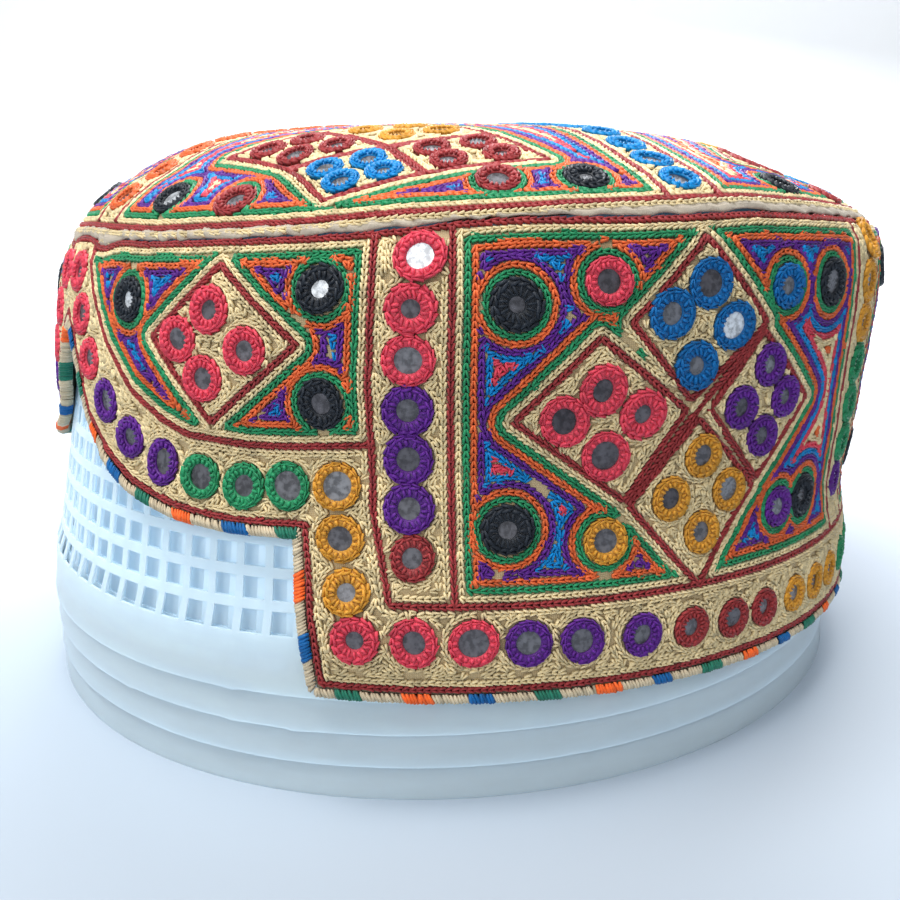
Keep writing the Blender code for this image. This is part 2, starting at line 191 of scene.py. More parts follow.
# Stitches, in millimetres
GRID_STEP = 0.36                 # grid on which the rows are traced
WALL_SPAN = (10.0, 104.0)        # heights between which the wall's rows are traced
WALL_ROWS, CROWN_ROWS = 12, 16   # most rows beside a red line
LINE_STEP = 0.8                  # points of a red line
FAR, NEAR = 60.0, 26.0           # distance where nothing is near, and the reach of a line or ring
FIRST_ROW = 1.55                 # first row beside a red line, in half rows
CROWDING = 0.76                  # stitches closer than this are thinned
COLOUR_CROWDING = 0.80           # coloured stitches may lie this much closer than the cream ones
SINK = 0.5                       # ground cloth under the stitches
RING_SIDES, GLASS_SIDES, WHIP_SIDES = 18, 14, 3
RING_PROFILE = ((-0.02, -0.35), (0.06, 0.16), (0.45, 0.32), (0.80, 0.18), (0.97, -0.35))   # share, lift
PIPING_COLS = 760                # points round the gathered strip
WHIP_SECTIONS = (                # over the edge, out of the cloth, half width, half thickness
    (-0.2, 0.10, 0.30, 0.12), (0.55, 0.38, 0.56, 0.20), (1.3, 0.20, 0.60, 0.21),
    (1.72, -0.8, 0.56, 0.20), (1.4, -1.95, 0.50, 0.18), (-0.4, -2.25, 0.24, 0.12),
)
WHIP_BLOCK, WHIP_PATCH = 10.72, 4.3   # from one coloured patch to the next, and its length
WHIP_COLOURS = (
    ("green", (0.02, 0.19, 0.12)), ("orange", (0.95, 0.15, 0.025)), ("blue", (0.005, 0.12, 0.36)))


class CapSizes(bpy.types.PropertyGroup):
    row_width: FloatProperty(name="Row width", description="Width of one row of chain stitch",
                             default=0.00125, min=0.001, max=0.003, unit="LENGTH")
    link_length: FloatProperty(name="Link length", description="Length of one chain stitch",
                               default=0.00122, min=0.001, max=0.004, unit="LENGTH")
    ring_radius: FloatProperty(name="Ring radius", description="Outer radius of a crocheted ring",
                               default=0.0044, min=0.002, max=0.006, unit="LENGTH")
    whip_pitch: FloatProperty(name="Whip pitch", description="Distance between whipped threads on the hem",
                              default=0.00058, min=0.0003, max=0.002, unit="LENGTH")


def thread_colour(label, colour):
    return FloatVectorProperty(name=label, description=f"Colour of the {label.lower()}", default=colour,
                               subtype="COLOR", size=3, min=0.0, max=1.0)


class ThreadColours(bpy.types.PropertyGroup):
    cream: thread_colour("Cream ground thread", (0.87, 0.71, 0.41))
    maroon: thread_colour("Dark red thread", (0.37, 0.045, 0.048))
    green: thread_colour("Green thread", (0.025, 0.30, 0.125))
    orange: thread_colour("Orange thread", (0.82, 0.16, 0.045))
    purple: thread_colour("Purple thread", (0.125, 0.022, 0.28))
    blue: thread_colour("Blue thread", (0.002, 0.25, 0.62))
    royal: thread_colour("Deep blue thread", (0.003, 0.145, 0.42))
    pink: thread_colour("Pink thread", (0.79, 0.070, 0.115))
    gold: thread_colour("Gold thread", (0.72, 0.34, 0.040))
    black: thread_colour("Black thread", (0.020, 0.026, 0.036))
    binding: thread_colour("Beige binding thread", (0.62, 0.52, 0.36))


class StandLook(bpy.types.PropertyGroup):
    plastic: thread_colour("White plastic", (0.64, 0.84, 0.97))
    piping: thread_colour("Off-white piping", (0.68, 0.59, 0.47))


# The wall and the crown as surfaces

def half_turn(azimuth):
    """The same azimuth between -180 and 180 degrees."""
    return (np.asarray(azimuth) + 180.0) % 360.0 - 180.0


def turn_share(azimuth):
    return np.abs(half_turn(azimuth)) / 180.0


def seam_height(azimuth):
    """Height of the seam: the base height plus a wave read from the shares round half a turn."""
    return SEAM_HEIGHT + SEAM_WAVE * np.interp(turn_share(azimuth), SEAM_TURN, SEAM_RISE)


def pucker(azimuth):
    """Extra drop of the piping's lower edge, which bunches up beside the front rings and narrows at the
    temples: two bells over the azimuth."""
    side = turn_share(azimuth) * 180.0
    return 1.5 * np.exp(-((side - 8.5) / 3.2) ** 2) - 1.1 * np.exp(-((side - 66.0) / 10.0) ** 2)


def front_drop(azimuth):
    """How much lower the crown's red line and the cream row under it lie round the front."""
    return 0.9 * np.clip((56.0 - turn_share(azimuth) * 180.0) / 14.0, 0.0, 1.0)


def hem_height(azimuth):
    """Height of the cut edge at the sides and the back: a tilt, and a lift beside the left step."""
    turn = half_turn(azimuth)
    return HEM_HEIGHT + HEM_TILT * np.cos(np.radians(turn)) + 2.4 * np.exp(-((turn + 49.0) / 7.0) ** 2)


def arch_height(azimuth):
    return ARCH_SHOULDER + ARCH_RISE * np.interp(np.abs(azimuth) / (ARCH_WIDTH / 2), ARCH_SHARE, ARCH_LIFT)


def wall_point(azimuth, height, out=0.0):
    """Point on the wall: the girth less the lean towards the front, turned to the azimuth."""
    low, high = hem_height(azimuth), seam_height(azimuth)
    share = np.clip((height - low) / (high - low), 0.0, 1.0)
    turn = np.radians(azimuth)
    radius = (BAND_RADIUS * np.interp(share, WALL_HEIGHT, WALL_GIRTH)
              - BAND_LEAN * np.interp(share, WALL_HEIGHT, WALL_LEAN) * np.cos(turn) + out)
    return np.stack([radius * np.sin(turn), STAND_Y - radius * np.cos(turn),
                     np.broadcast_to(height, radius.shape)], -1)


def wall_frame(azimuth, height):
    """Point and outward normal of the wall, from differences along and up the cloth."""
    along = wall_point(azimuth + 0.4, height) - wall_point(azimuth - 0.4, height)
    up = wall_point(azimuth, height + 0.9) - wall_point(azimuth, height - 0.9)
    return wall_point(azimuth, height), unit(np.cross(along, up))


def unroll(azimuth):
    """Distance along the wall from the front, at half height: the girth's arc less the lean's chord."""
    turn = np.radians(azimuth)
    return 96.4 * turn - 8.05 * np.sin(turn)


def roll_up(along):
    """Azimuth of a distance along the wall."""
    azimuth = np.linspace(-200.0, 200.0, 2001)
    return np.interp(along, unroll(azimuth), azimuth)


def crown_profile(front):
    """Arc length along the crown from its middle, for a mix of the front and the back profile."""
    reach = np.linspace(0.0, 1.0, 400)
    rise = front * np.interp(reach, CROWN_REACH, CROWN_FRONT) + (1 - front) * np.interp(
        reach, CROWN_REACH, CROWN_BACK)
    radius = BAND_RADIUS * WALL_GIRTH[-1]
    step = np.hypot(np.diff(reach) * radius, np.diff(rise) * (CROWN_HEIGHT - SEAM_HEIGHT))
    return reach, np.concatenate([[0.0], np.cumsum(step)])


CROWN_SHARES, CROWN_ARC = crown_profile(0.6)
CROWN_EDGE = CROWN_ARC[-1]
CROWN_MIDDLE_Y = BAND_LEAN * WALL_LEAN[-1]


def smooth_rise(reach, shares):
    """Crown profile with its corners rounded: the mean of the shares a little way either side."""
    spread = (-0.045, -0.0225, 0.0, 0.0225, 0.045)
    edge = np.clip((1.0 - reach) / 0.045, 0.0, 1.0)
    return sum(np.interp(np.abs(reach + d * edge), CROWN_REACH, shares) for d in spread) / len(spread)


def crown_point(across, back, out=0.0):
    """Point on the crown of a place on the flattened cloth: its distance gives the reach, its direction
    the azimuth, and the height is the seam's plus the rise of the profile there."""
    distance = np.hypot(across, back)
    azimuth = np.degrees(np.arctan2(across, -back))
    reach = np.interp(distance, CROWN_ARC, CROWN_SHARES)
    seam = wall_point(azimuth, seam_height(azimuth))
    front = (1.0 + np.cos(np.radians(azimuth))) / 2
    rise = front * smooth_rise(reach, CROWN_FRONT) + (1 - front) * smooth_rise(reach, CROWN_BACK)
    middle_y = STAND_Y + CROWN_MIDDLE_Y
    x = reach * seam[..., 0]
    y = middle_y + reach * (seam[..., 1] - middle_y)
    z = seam[..., 2] + (CROWN_HEIGHT - seam[..., 2]) * rise
    return np.stack([x, y, z + out], -1)


def crown_frame(across, back):
    """Point and outward normal of the crown, from differences both ways, a little inside its edge."""
    d = 0.6
    shift = np.where(np.hypot(across, back) > CROWN_EDGE - 2 * d, 1 - 3 * d / CROWN_EDGE, 1.0)
    a, b = across * shift, back * shift
    normal = np.cross(crown_point(a + d, b) - crown_point(a - d, b),
                      crown_point(a, b + d) - crown_point(a, b - d))
    return crown_point(across, back), unit(normal)


def unit(v):
    return v / np.maximum(np.linalg.norm(v, axis=-1, keepdims=True), 1e-9)


# Rows of stitches as level lines of a distance field

def segment_distance(x, y, start, end):
    """Distance of every place of a grid from one straight line: the foot of the perpendicular, clamped."""
    dx, dy = end[0] - start[0], end[1] - start[1]
    share = np.clip(((x - start[0]) * dx + (y - start[1]) * dy) / max(dx * dx + dy * dy, 1e-9), 0.0, 1.0)
    return np.hypot(x - start[0] - share * dx, y - start[1] - share * dy)


def least_distance(x, y, shapes, period=0.0):
    """Least distance from straight pieces with round ends, each a start, an end and a radius. It is worked
    out only near each piece's own box, and once more to either side where the cloth closes on itself."""
    best = np.full(x.shape, FAR)
    for start, end, radius in shapes:
        for shift in (-period, 0.0, period) if period else (0.0,):
            a, b = (start[0] + shift, start[1]), (end[0] + shift, end[1])
            cols = np.flatnonzero((x[0] > min(a[0], b[0]) - NEAR) & (x[0] < max(a[0], b[0]) + NEAR))
            rows = np.flatnonzero((y[:, 0] > min(a[1], b[1]) - NEAR) & (y[:, 0] < max(a[1], b[1]) + NEAR))
            if len(cols) and len(rows):
                part = np.s_[rows[0]:rows[-1] + 1, cols[0]:cols[-1] + 1]
                best[part] = np.minimum(best[part], segment_distance(x[part], y[part], a, b) - radius)
    return best


def stitch_field(x, y, lines, rings, zone, row, period=0.0):
    """Field whose level lines the rows follow: the distance from the red lines, and from the rings with
    a wider gap where the rows have many colours."""
    pieces = [(a, b, 0.0) for line in lines for a, b in zip(line[:-1], line[1:])]
    rounds = [(ring[:2], ring[:2], ring[2]) for ring in rings]
    gap = np.where(zone, 1.5, 0.5) * row
    return np.minimum(least_distance(x, y, pieces, period), least_distance(x, y, rounds, period) + gap)


def inside_convex(x, y, corners):
    """True within a convex outline given clockwise or the other way round."""
    corners = np.asarray(corners, float)
    turns = np.array([(bx - ax) * (y - ay) - (by - ay) * (x - ax)
                      for (ax, ay), (bx, by) in zip(corners, np.roll(corners, -1, 0))])
    return np.all(turns >= 0, axis=0) | np.all(turns <= 0, axis=0)


def level_crossings(field, level, wrap):
    """Crossings of one level, each with the crossing that follows it with the higher side on one hand.
    Every cell is split into two triangles, and a triangle that the level cuts joins the edge where its
    outline falls to the edge where it rises."""
    rows, cols = field.shape
    i, j = np.meshgrid(np.arange(rows - 1), np.arange(cols if wrap else cols - 1), indexing="ij")
    i, j = i.ravel(), j.ravel()
    right = (j + 1) % cols
    high = field > level
    flat, diagonal, upright = 0, 1, 2

    def edge(row, col, kind):
        return (row * cols + col) * 3 + kind

    starts, ends = [], []
    cross = edge(i, j, diagonal)
    lower = ((i, j), (i, right), (i + 1, right)), (edge(i, j, flat), edge(i, right, upright), cross)
    upper = ((i, j), (i + 1, right), (i + 1, j)), (cross, edge(i + 1, j, flat), edge(i, j, upright))
    for corners, edges in (lower, upper):
        flags = np.array([high[r, c] for r, c in corners])
        following = np.roll(flags, -1, axis=0)
        cut = flags.any(0) & ~flags.all(0)
        names = np.array(edges)[:, cut]
        pick = np.arange(names.shape[1])
        starts.append(names[(flags & ~following)[:, cut].argmax(0), pick])
        ends.append(names[(~flags & following)[:, cut].argmax(0), pick])
    starts, ends = np.concatenate(starts), np.concatenate(ends)
    order = np.argsort(starts)
    starts, ends = starts[order], ends[order]
    if len(starts) == 0:
        return np.zeros((0, 2)), np.zeros(0, int)
    place = np.minimum(np.searchsorted(starts, ends), len(starts) - 1)
    row, col, kind = starts // 3 // cols, starts // 3 % cols, starts % 3
    to_row, to_col = row + (kind != flat), col + (kind != upright)
    low, far = field[row, col], field[to_row, to_col % cols]
    share = np.clip((level - low) / np.where(far == low, 1.0, far - low), 0.0, 1.0)
    return np.stack([col + share * (to_col - col), row + share * (to_row - row)], -1), place


def walk_loops(following, length):
    """Loop number, distance walked and whole length for crossings joined in closed loops. Jumps double in
    size, so a few passes find each loop's lowest crossing and the way left from each to its loop's end."""
    count = len(following)
    passes = int(math.ceil(math.log2(max(count, 2)))) + 1
    label, jump = np.arange(count), following.copy()
    for _ in range(passes):
        label, jump = np.minimum(label, label[jump]), jump[jump]
    last = (label == np.arange(count))[following]
    jump = np.where(last, np.arange(count), following)
    left = np.where(last, 0.0, length)
    for _ in range(passes):
        left, jump = left + left[jump], jump[jump]
    whole, closing = np.zeros(count), np.zeros(count)
    closing[label[last]] = length[last]
    whole[label[last]] = left[label][last] + length[last]
    return label, whole[label] - left - closing[label], whole


def stitches_on_loops(points, following, pitch):
    """Middles and directions of evenly spaced stitches on closed loops of 3-D points."""
    empty = np.zeros((0, 3))
    if len(points) < 3:
        return empty, empty
    length = np.linalg.norm(points[following] - points, axis=1)
    label, walked, whole = walk_loops(following, length)
    order = np.lexsort((walked, label))
    heads = np.flatnonzero(label == np.arange(len(label)))
    total = whole[heads]
    keep = total > 1.6 * pitch
    heads, total = heads[keep], total[keep]
    if len(heads) == 0:
        return empty, empty
    offset_of = np.full(len(label), -1.0)
    offsets = np.concatenate([[0.0], np.cumsum(total + 1.0)[:-1]])
    offset_of[heads] = offsets
    order = order[offset_of[label[order]] >= 0.0]
    scale = np.concatenate([offset_of[label[order]] + walked[order], offsets + total])
    spots = np.concatenate([points[order], points[heads]])
    sort = np.argsort(scale, kind="stable")
    scale, spots = scale[sort], spots[sort]
    counts = np.maximum(np.round(total / pitch).astype(int), 2)
    loop = np.repeat(np.arange(len(heads)), counts)
    index = np.arange(counts.sum()) - np.repeat(np.cumsum(counts) - counts, counts)
    along = (index + 0.5) * (total / counts)[loop]

    def at(distance):
        s = offsets[loop] + distance % total[loop]
        return np.stack([np.interp(s, scale, spots[:, k]) for k in range(3)], -1)

    reach = 0.35 * pitch
    return at(along), unit(at(along + reach) - at(along - reach))


def walk(line):
    """Distance walked along a line, from its first point to each."""
    return np.concatenate([[0.0], np.cumsum(np.linalg.norm(np.diff(line, axis=0), axis=1))])


def spots_along(line, walked, distance):
    """Points of a line at some distances along it."""
    return np.stack([np.interp(distance, walked, line[:, k]) for k in range(line.shape[1])], -1)


def even_line(line):
    """The same line with its points evenly spaced."""
    walked = walk(line)
    return spots_along(line, walked, np.linspace(0.0, walked[-1], max(int(walked[-1] / LINE_STEP), 2)))


def stitches_on_line(line, pitch):
    """Middles and directions of evenly spaced stitches on one open line of 3-D points."""
    walked = walk(line)
    count = max(int(round(walked[-1] / pitch)), 1)
    along = (np.arange(count) + 0.5) * walked[-1] / count
    ahead, behind = (spots_along(line, walked, along + way * pitch) for way in (0.3, -0.3))
    return spots_along(line, walked, along), unit(ahead - behind)


# Meshes of many small threads

def strand(spine, half_widths, heights, sides):
    """One strand: pointed ends and rings of corners round a bent spine, with its outward faces."""
    spine = np.asarray(spine, float)
    turn = 2 * np.pi * np.arange(sides) / sides + np.pi / 2
    rings = [spot + np.stack([0 * turn, wide * np.cos(turn), tall * np.sin(turn)], -1)
             for spot, wide, tall in zip(spine[1:], half_widths, heights)]
    points = np.concatenate([spine[:1]] + rings + [spine[-1:]])
    faces = []
    for s in range(sides):
        t = (s + 1) % sides
        faces.append((0, 1 + s, 1 + t))
        for k in range(len(half_widths) - 1):
            a, b = 1 + k * sides, 1 + (k + 1) * sides
            faces += [(a + s, b + s, b + t), (a + s, b + t, a + t)]
        a = 1 + (len(half_widths) - 1) * sides
        faces.append((a + s, len(points) - 1, a + t))
    return points, np.array(faces)


def blunt_leg(start, end, half_widths, heights):
    """A short three-sided leg with blunt ends: a ridge on top and a low edge on each side."""
    points = []
    for spot, wide, tall in zip((start, end), half_widths, heights):
        spot = np.asarray(spot, float)
        points += [spot + (0, 0, tall), spot + (0, wide, -0.25 * tall), spot + (0, -wide, -0.25 * tall)]
    faces = [(0, 2, 1), (3, 4, 5)]
    for k in range(3):
        n = (k + 1) % 3
        faces += [(k, n, 3 + n), (k, 3 + n, 3 + k)]
    return np.array(points), np.array(faces)


def chain_link(length, width):
    """A chain stitch: two legs that leave the middle high and spread down to the row's edges."""
    parts, faces = [], []
    for side in (-1.0, 1.0):
        points, tris = blunt_leg((-0.56 * length, 0.08 * width, -0.14), (0.54 * length, 0.34 * width, -0.34),
                                 (0.25 * width, 0.34 * width), (0.48, 0.55))
        parts.append(points * (1.0, side, 1.0))
        faces.append((tris if side > 0 else tris[:, ::-1]) + (0 if side < 0 else len(points)))
    return np.concatenate(parts), np.concatenate(faces)


def repeated(faces, count, size):
    """The faces of one shape for a number of copies with size points each."""
    return (faces[None] + (np.arange(count) * size)[:, None, None]).reshape(-1, faces.shape[1])


def place_copies(template, middles, forward, out, scale):
    """Copies of a small shape: its x runs forward, its z outwards, and scale stretches it along x, y, z."""
    side = unit(np.cross(out, forward))
    out = unit(np.cross(forward, side))
    points, faces = template
    local = points[None] * scale[:, None, :]
    world = (middles[:, None] + local[..., :1] * forward[:, None] + local[..., 1:2] * side[:, None]
             + local[..., 2:] * out[:, None])
    return world.reshape(-1, 3), repeated(faces, len(middles), len(points))


def make_piece(name, points, faces, material, shade=None, smooth=True, uv=None):
    """A mesh object from millimetre points, with an optional shade from 0 to 1 for each point."""
    mesh = bpy.data.meshes.new(name)
    mesh.vertices.add(len(points))
    mesh.vertices.foreach_set("co", (np.asarray(points, np.float32) * MM).ravel())
    faces = np.asarray(faces, np.int32)
    mesh.loops.add(faces.size)
    mesh.loops.foreach_set("vertex_index", faces.ravel())
    mesh.polygons.add(len(faces))
    mesh.polygons.foreach_set("loop_start", np.arange(len(faces), dtype=np.int32) * faces.shape[1])
    mesh.update(calc_edges=True)
    mesh.validate()
    if shade is not None:
        layer = mesh.attributes.new("shade", "FLOAT", "POINT")
        layer.data.foreach_set("value", np.asarray(shade, np.float32))
    if uv is not None:
        layer = mesh.uv_layers.new(name="cloth")
        layer.data.foreach_set("uv", np.asarray(uv, np.float32)[faces.ravel()].ravel())
    mesh.polygons.foreach_set("use_smooth", np.full(len(mesh.polygons), smooth))
    mesh.materials.append(material)
    piece = bpy.data.objects.new(name, mesh)
    bpy.context.collection.objects.link(piece)
    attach(piece, "root")
    return piece


def grid_faces(rows, cols, wrap=True, close=False):
    """Quads of a grid of rows by cols points, closed round the columns if wrap, and with the last row
    joined to the first if close."""
    i, j = np.meshgrid(np.arange(rows if close else rows - 1), np.arange(cols if wrap else cols - 1),
                       indexing="ij")
    here, after, right = i * cols, (i + 1) % rows * cols, (j + 1) % cols
    return np.stack([here + j, here + right, after + right, after + j], -1).reshape(-1, 4)


def triangles(quads):
    return np.concatenate([quads[:, [0, 1, 2]], quads[:, [0, 2, 3]]])


# Materials

def rgba(value):
    """A grey level or three channels as an opaque colour."""
    return (*value, 1.0) if hasattr(value, "__len__") else (value, value, value, 1.0)


class Graph:
    """Adds nodes to a tree: an input is set to a value, or linked where the value is a node's output."""

    def __init__(self, tree):
        self.tree = tree

    def set(self, node, inputs):
        for name, value in inputs.items():
            if isinstance(value, bpy.types.NodeSocket):
                self.tree.links.new(value, node.inputs[name])
            else:
                node.inputs[name].default_value = value

    def add(self, kind, inputs=None, **settings):
        node = self.tree.nodes.new(f"ShaderNode{kind}")
        for name, value in settings.items():
            setattr(node, name, value)
        self.set(node, inputs or {})
        return node

    def place(self):
        return self.add("TexCoord").outputs["Object"]

    def shade(self):
        return self.add("Attribute", attribute_name="shade").outputs["Fac"]

    def noise(self, place, scale, detail=2.0):
        return self.add("TexNoise", {"Vector": place, "Scale": scale, "Detail": detail}).outputs["Fac"]

    def mix(self, factor, first, second, blend="MIX"):
        inputs = {0: factor, 6: first, 7: second}
        return self.add("Mix", inputs, data_type="RGBA", blend_type=blend).outputs[2]

    def times(self, first, second):
        return self.mix(1.0, first, second, "MULTIPLY")

    def ramp(self, source, *stops):
        node = self.add("ValToRGB", {0: source})
        elements = node.color_ramp.elements
        while len(elements) < len(stops):
            elements.new(0.5)
        for element, (place, value) in zip(elements, stops):
            element.position = place
            element.color = rgba(value)
        return node.outputs[0]

    def span(self, value, ends):
        return self.add("MapRange", {"Value": value, **ends}).outputs["Result"]

    def bump(self, height, strength, distance):
        return self.add("Bump", {"Height": height, "Strength": strength, "Distance": distance}).outputs[0]


def principled(name):
    material = bpy.data.materials.new(name)
    material.use_nodes = True
    return material, Graph(material.node_tree), material.node_tree.nodes["Principled BSDF"]


def floss_group():
    """Silky thread: each stitch has its own shade, with fine filaments and a little soiling."""
    if "Floss" in bpy.data.node_groups:
        return bpy.data.node_groups["Floss"]
    group = bpy.data.node_groups.new("Floss", "ShaderNodeTree")
    for label, way, kind, value in (
            ("Color", "INPUT", "Color", rgba(0.8)), ("Variation", "INPUT", "Float", 0.5),
            ("Filament Scale", "INPUT", "Float", 5200.0), ("Color", "OUTPUT", "Color", None),
            ("Roughness", "OUTPUT", "Float", None), ("Height", "OUTPUT", "Float", None)):
        socket = group.interface.new_socket(label, in_out=way, socket_type=f"NodeSocket{kind}")
        if value is not None:
            socket.default_value = value
    graph, given = Graph(group), group.nodes.new("NodeGroupInput").outputs
    soil = graph.noise(graph.place(), 60.0, 3.0)
    fibre = graph.noise(graph.place(), given["Filament Scale"])
    dark = graph.ramp(graph.shade(), (0.0, 0.50), (0.45, 0.92), (1.0, 1.25))
    body = graph.times(given["Color"], graph.mix(given["Variation"], rgba(1.0), dark))
    body = graph.times(body, graph.ramp(soil, (0.35, 1.0), (0.75, 0.86)))
    body = graph.times(body, graph.ramp(fibre, (0.3, 0.84), (0.7, 1.10)))
    graph.set(group.nodes.new("NodeGroupOutput"), {
        "Color": body, "Roughness": graph.span(fibre, {"To Min": 0.30, "To Max": 0.50}),
        "Height": fibre})
    return group


def floss_material(name, colour, variation=0.6):
    if name in bpy.data.materials:
        return bpy.data.materials[name]
    material, graph, shader = principled(name)
    inputs = {"Color": rgba(colour), "Variation": variation}
    floss = graph.add("Group", inputs, node_tree=floss_group()).outputs
    graph.set(shader, {
        "Base Color": floss["Color"], "Roughness": floss["Roughness"],
        "Normal": graph.bump(floss["Height"], 0.35, 0.00012), "Specular IOR Level": 0.22,
        "Sheen Weight": 0.06, "Sheen Roughness": 0.4})
    return material


def cloth_material(name, colour, shadow, scale):
    """Plain woven cotton: two crossing waves of threads, darker in the gaps, with slubs."""
    material, graph, shader = principled(name)
    place = graph.add("UVMap", uv_map="cloth").outputs["UV"]
    waves = [graph.add("TexWave", {"Vector": place, "Scale": scale, "Distortion": 0.6, "Detail": 1.0},
                       bands_direction=direction).outputs["Fac"] for direction in "XY"]
    weave = graph.add("Math", dict(enumerate(waves)), operation="MULTIPLY").outputs[0]
    slubs = graph.ramp(graph.noise(place, scale * 0.15), (0.3, 0.82), (0.7, 1.0))
    graph.set(shader, {
        "Base Color": graph.times(graph.mix(weave, rgba(shadow), rgba(colour)), slubs),
        "Normal": graph.bump(weave, 0.4, 0.0002), "Roughness": 0.82, "Sheen Weight": 0.2})
    return material


def mirror_material():
    """Old silvered glass: grey with cloudy patches, each mirror with its own brightness, partly a random
    tone of its silvering and partly a painted reflection that makes a few of them near white.
    """
    material, graph, shader = principled("small old mirrors")
    cloud = graph.noise(graph.place(), 900.0, 5.0)
    # Painted reflection: the ramp's top stop paints the glinting mirrors near white; the lower stops are the
    # silvering's own tones.
    silver_and_painted_glint = graph.ramp(graph.shade(), (0.0, (0.05, 0.045, 0.055)), (0.6, (0.15, 0.15, 0.165)),
                        (0.85, (0.24, 0.25, 0.27)), (1.0, (0.80, 0.84, 0.88)))
    graph.set(shader, {
        "Base Color": graph.times(silver_and_painted_glint, graph.ramp(cloud, (0.38, 0.55), (0.62, 1.15))),
        "Roughness": graph.ramp(cloud, (0.4, 0.22), (0.7, 0.45)),
        "Metallic": 0.3, "Specular IOR Level": 0.2})
    return material


def plastic_material(name, colour, painted_glow_from=None):
    """Thin moulded plastic that lets some light through, with faint flow marks and a satin surface.
    Above the height that its last argument gives, in metres, it has a painted glow: emission that stands in
    for the light that comes through the baskets round it."""
    material, graph, shader = principled(name)
    place = graph.place()
    drawn = graph.add("Mapping", {"Vector": place, "Scale": (1.0, 1.0, 5.0)}).outputs[0]
    flow = graph.noise(drawn, 45.0, 4.0)
    pale = tuple(min(1.0, c * 1.07) for c in colour)
    graph.set(shader, {
        "Base Color": graph.ramp(flow, (0.35, colour), (0.65, pale)),
        "Roughness": graph.ramp(flow, (0.3, 0.30), (0.7, 0.42)), "Normal": graph.bump(flow, 0.15, 0.0003),
        "Subsurface Weight": 0.55, "Subsurface Radius": (0.9, 1.0, 1.1), "Subsurface Scale": 0.008})
    if painted_glow_from is not None:
        # Painted glow: emission on the parts hidden behind other baskets, standing in for the light that
        # comes through them.
        height = graph.add("SeparateXYZ", {"Vector": place}).outputs["Z"]
        deep = graph.span(height, {"From Min": painted_glow_from, "From Max": painted_glow_from + 0.004})
        painted_glow = graph.ramp(deep, (0.0, 0.0), (1.0, (0.70, 0.83, 0.95)))
        graph.set(shader, {"Emission Color": painted_glow, "Emission Strength": 0.15})
    return material


def floor_material():
    """Pale floor with painted shade: bluish grey in front of the stand, turning to white behind it."""
    material, graph, shader = principled("pale floor")
    depth = graph.add("VectorMath", {0: graph.place(), 1: (-0.857, 0.515, 0.35)}, operation="DOT_PRODUCT")
    reach = graph.span(depth.outputs["Value"], {"From Min": -0.20, "From Max": 0.45})
    # Painted shade: the floor darkens from white behind the stand to bluish grey in front of it.
    painted_shade = graph.ramp(reach, (0.0, (0.34, 0.39, 0.45)), (0.32, (0.46, 0.53, 0.61)),
                      (1.0, (0.95, 0.97, 0.99)))
    graph.set(shader, {"Base Color": painted_shade, "Roughness": 0.6})
    return material


# Layout of the wall

def edge_path():
    """Cut edge of the wall, once round from the left step: its azimuths and its heights."""
    arch = ARCH_WIDTH / 2 * np.array(ARCH_SHARE)
    arch = np.concatenate([-arch[:0:-1], arch])
    start = ARCH_WIDTH / 2 + STEP_LEAN
    back = np.linspace(start, 360.0 - start, 73)
    return np.concatenate([arch, back]), np.concatenate([arch_height(arch), hem_height(back)])


def unrolled(azimuth, height):
    """Places on the unrolled wall, in millimetres, where an azimuth may run past half a turn."""
    turns = np.floor((np.asarray(azimuth) + 180.0) / 360.0)
    return np.stack([unroll(azimuth - 360.0 * turns) + turns * PERIOD, np.asarray(height, float)], -1)


def once_round(along):
    """The same distance along the wall, less than half a turn from the front."""
    return (along + PERIOD / 2) % PERIOD - PERIOD / 2


def closed_path(path):
    return np.concatenate([path, path[:1] + (PERIOD, 0.0)])


PERIOD = float(unroll(180.0) - unroll(-180.0))


def offset_path(path, away):
    """Closed unrolled path moved sideways: each point shifts along the mitre of its two sides."""
    step = unit(np.diff(np.concatenate([path[-1:] - (PERIOD, 0.0), closed_path(path)]), axis=0))
    side = np.stack([-step[:, 1], step[:, 0]], -1)
    mitre = unit(side[:-1] + side[1:])
    stretch = np.maximum((mitre * side[1:]).sum(-1, keepdims=True), 0.6)
    return path + mitre / stretch * away


def inner_line(azimuth):
    """Height of the red line over the ring rows of the hem and the arch, for any azimuth."""
    side = np.abs(half_turn(azimuth))
    arch = np.interp(side, *zip(*PANEL_LINE))
    return np.where(side < PANEL_LINE[0][0], 200.0,
                    np.where(side < PANEL_LINE[-1][0], arch, hem_height(azimuth) + HEM_BORDER_RISE))


def panel_drop(panel, height):
    """How far a height in the side panel moves for a panel where the hem is higher or lower."""
    model = SIDE_PANELS[2][0]        # the tables hold this panel's heights
    return float(hem_height(panel[0]) - hem_height(model)) * (1.0 - (height - 37.0) / 60.0)


def hand(azimuth):
    """The half of the cap on which an azimuth lies: -1 or 1."""
    return -1.0 if azimuth < 0 else 1.0


def panel_place(panel, across, height):
    """Place in a panel from degrees beside its middle, turned round on the left half of the cap."""
    return float(unroll(panel[0] + hand(panel[0]) * across)), height + panel_drop(panel, height)


def column_sway(middle, side, share):
    """Offset in degrees of a column's red line at a share of its height, alike on both halves of the cap."""
    way = hand(middle)
    return way * np.interp(share, COLUMN_SWAY[0], COLUMN_SWAY[1 if side * way < 0 else 2])


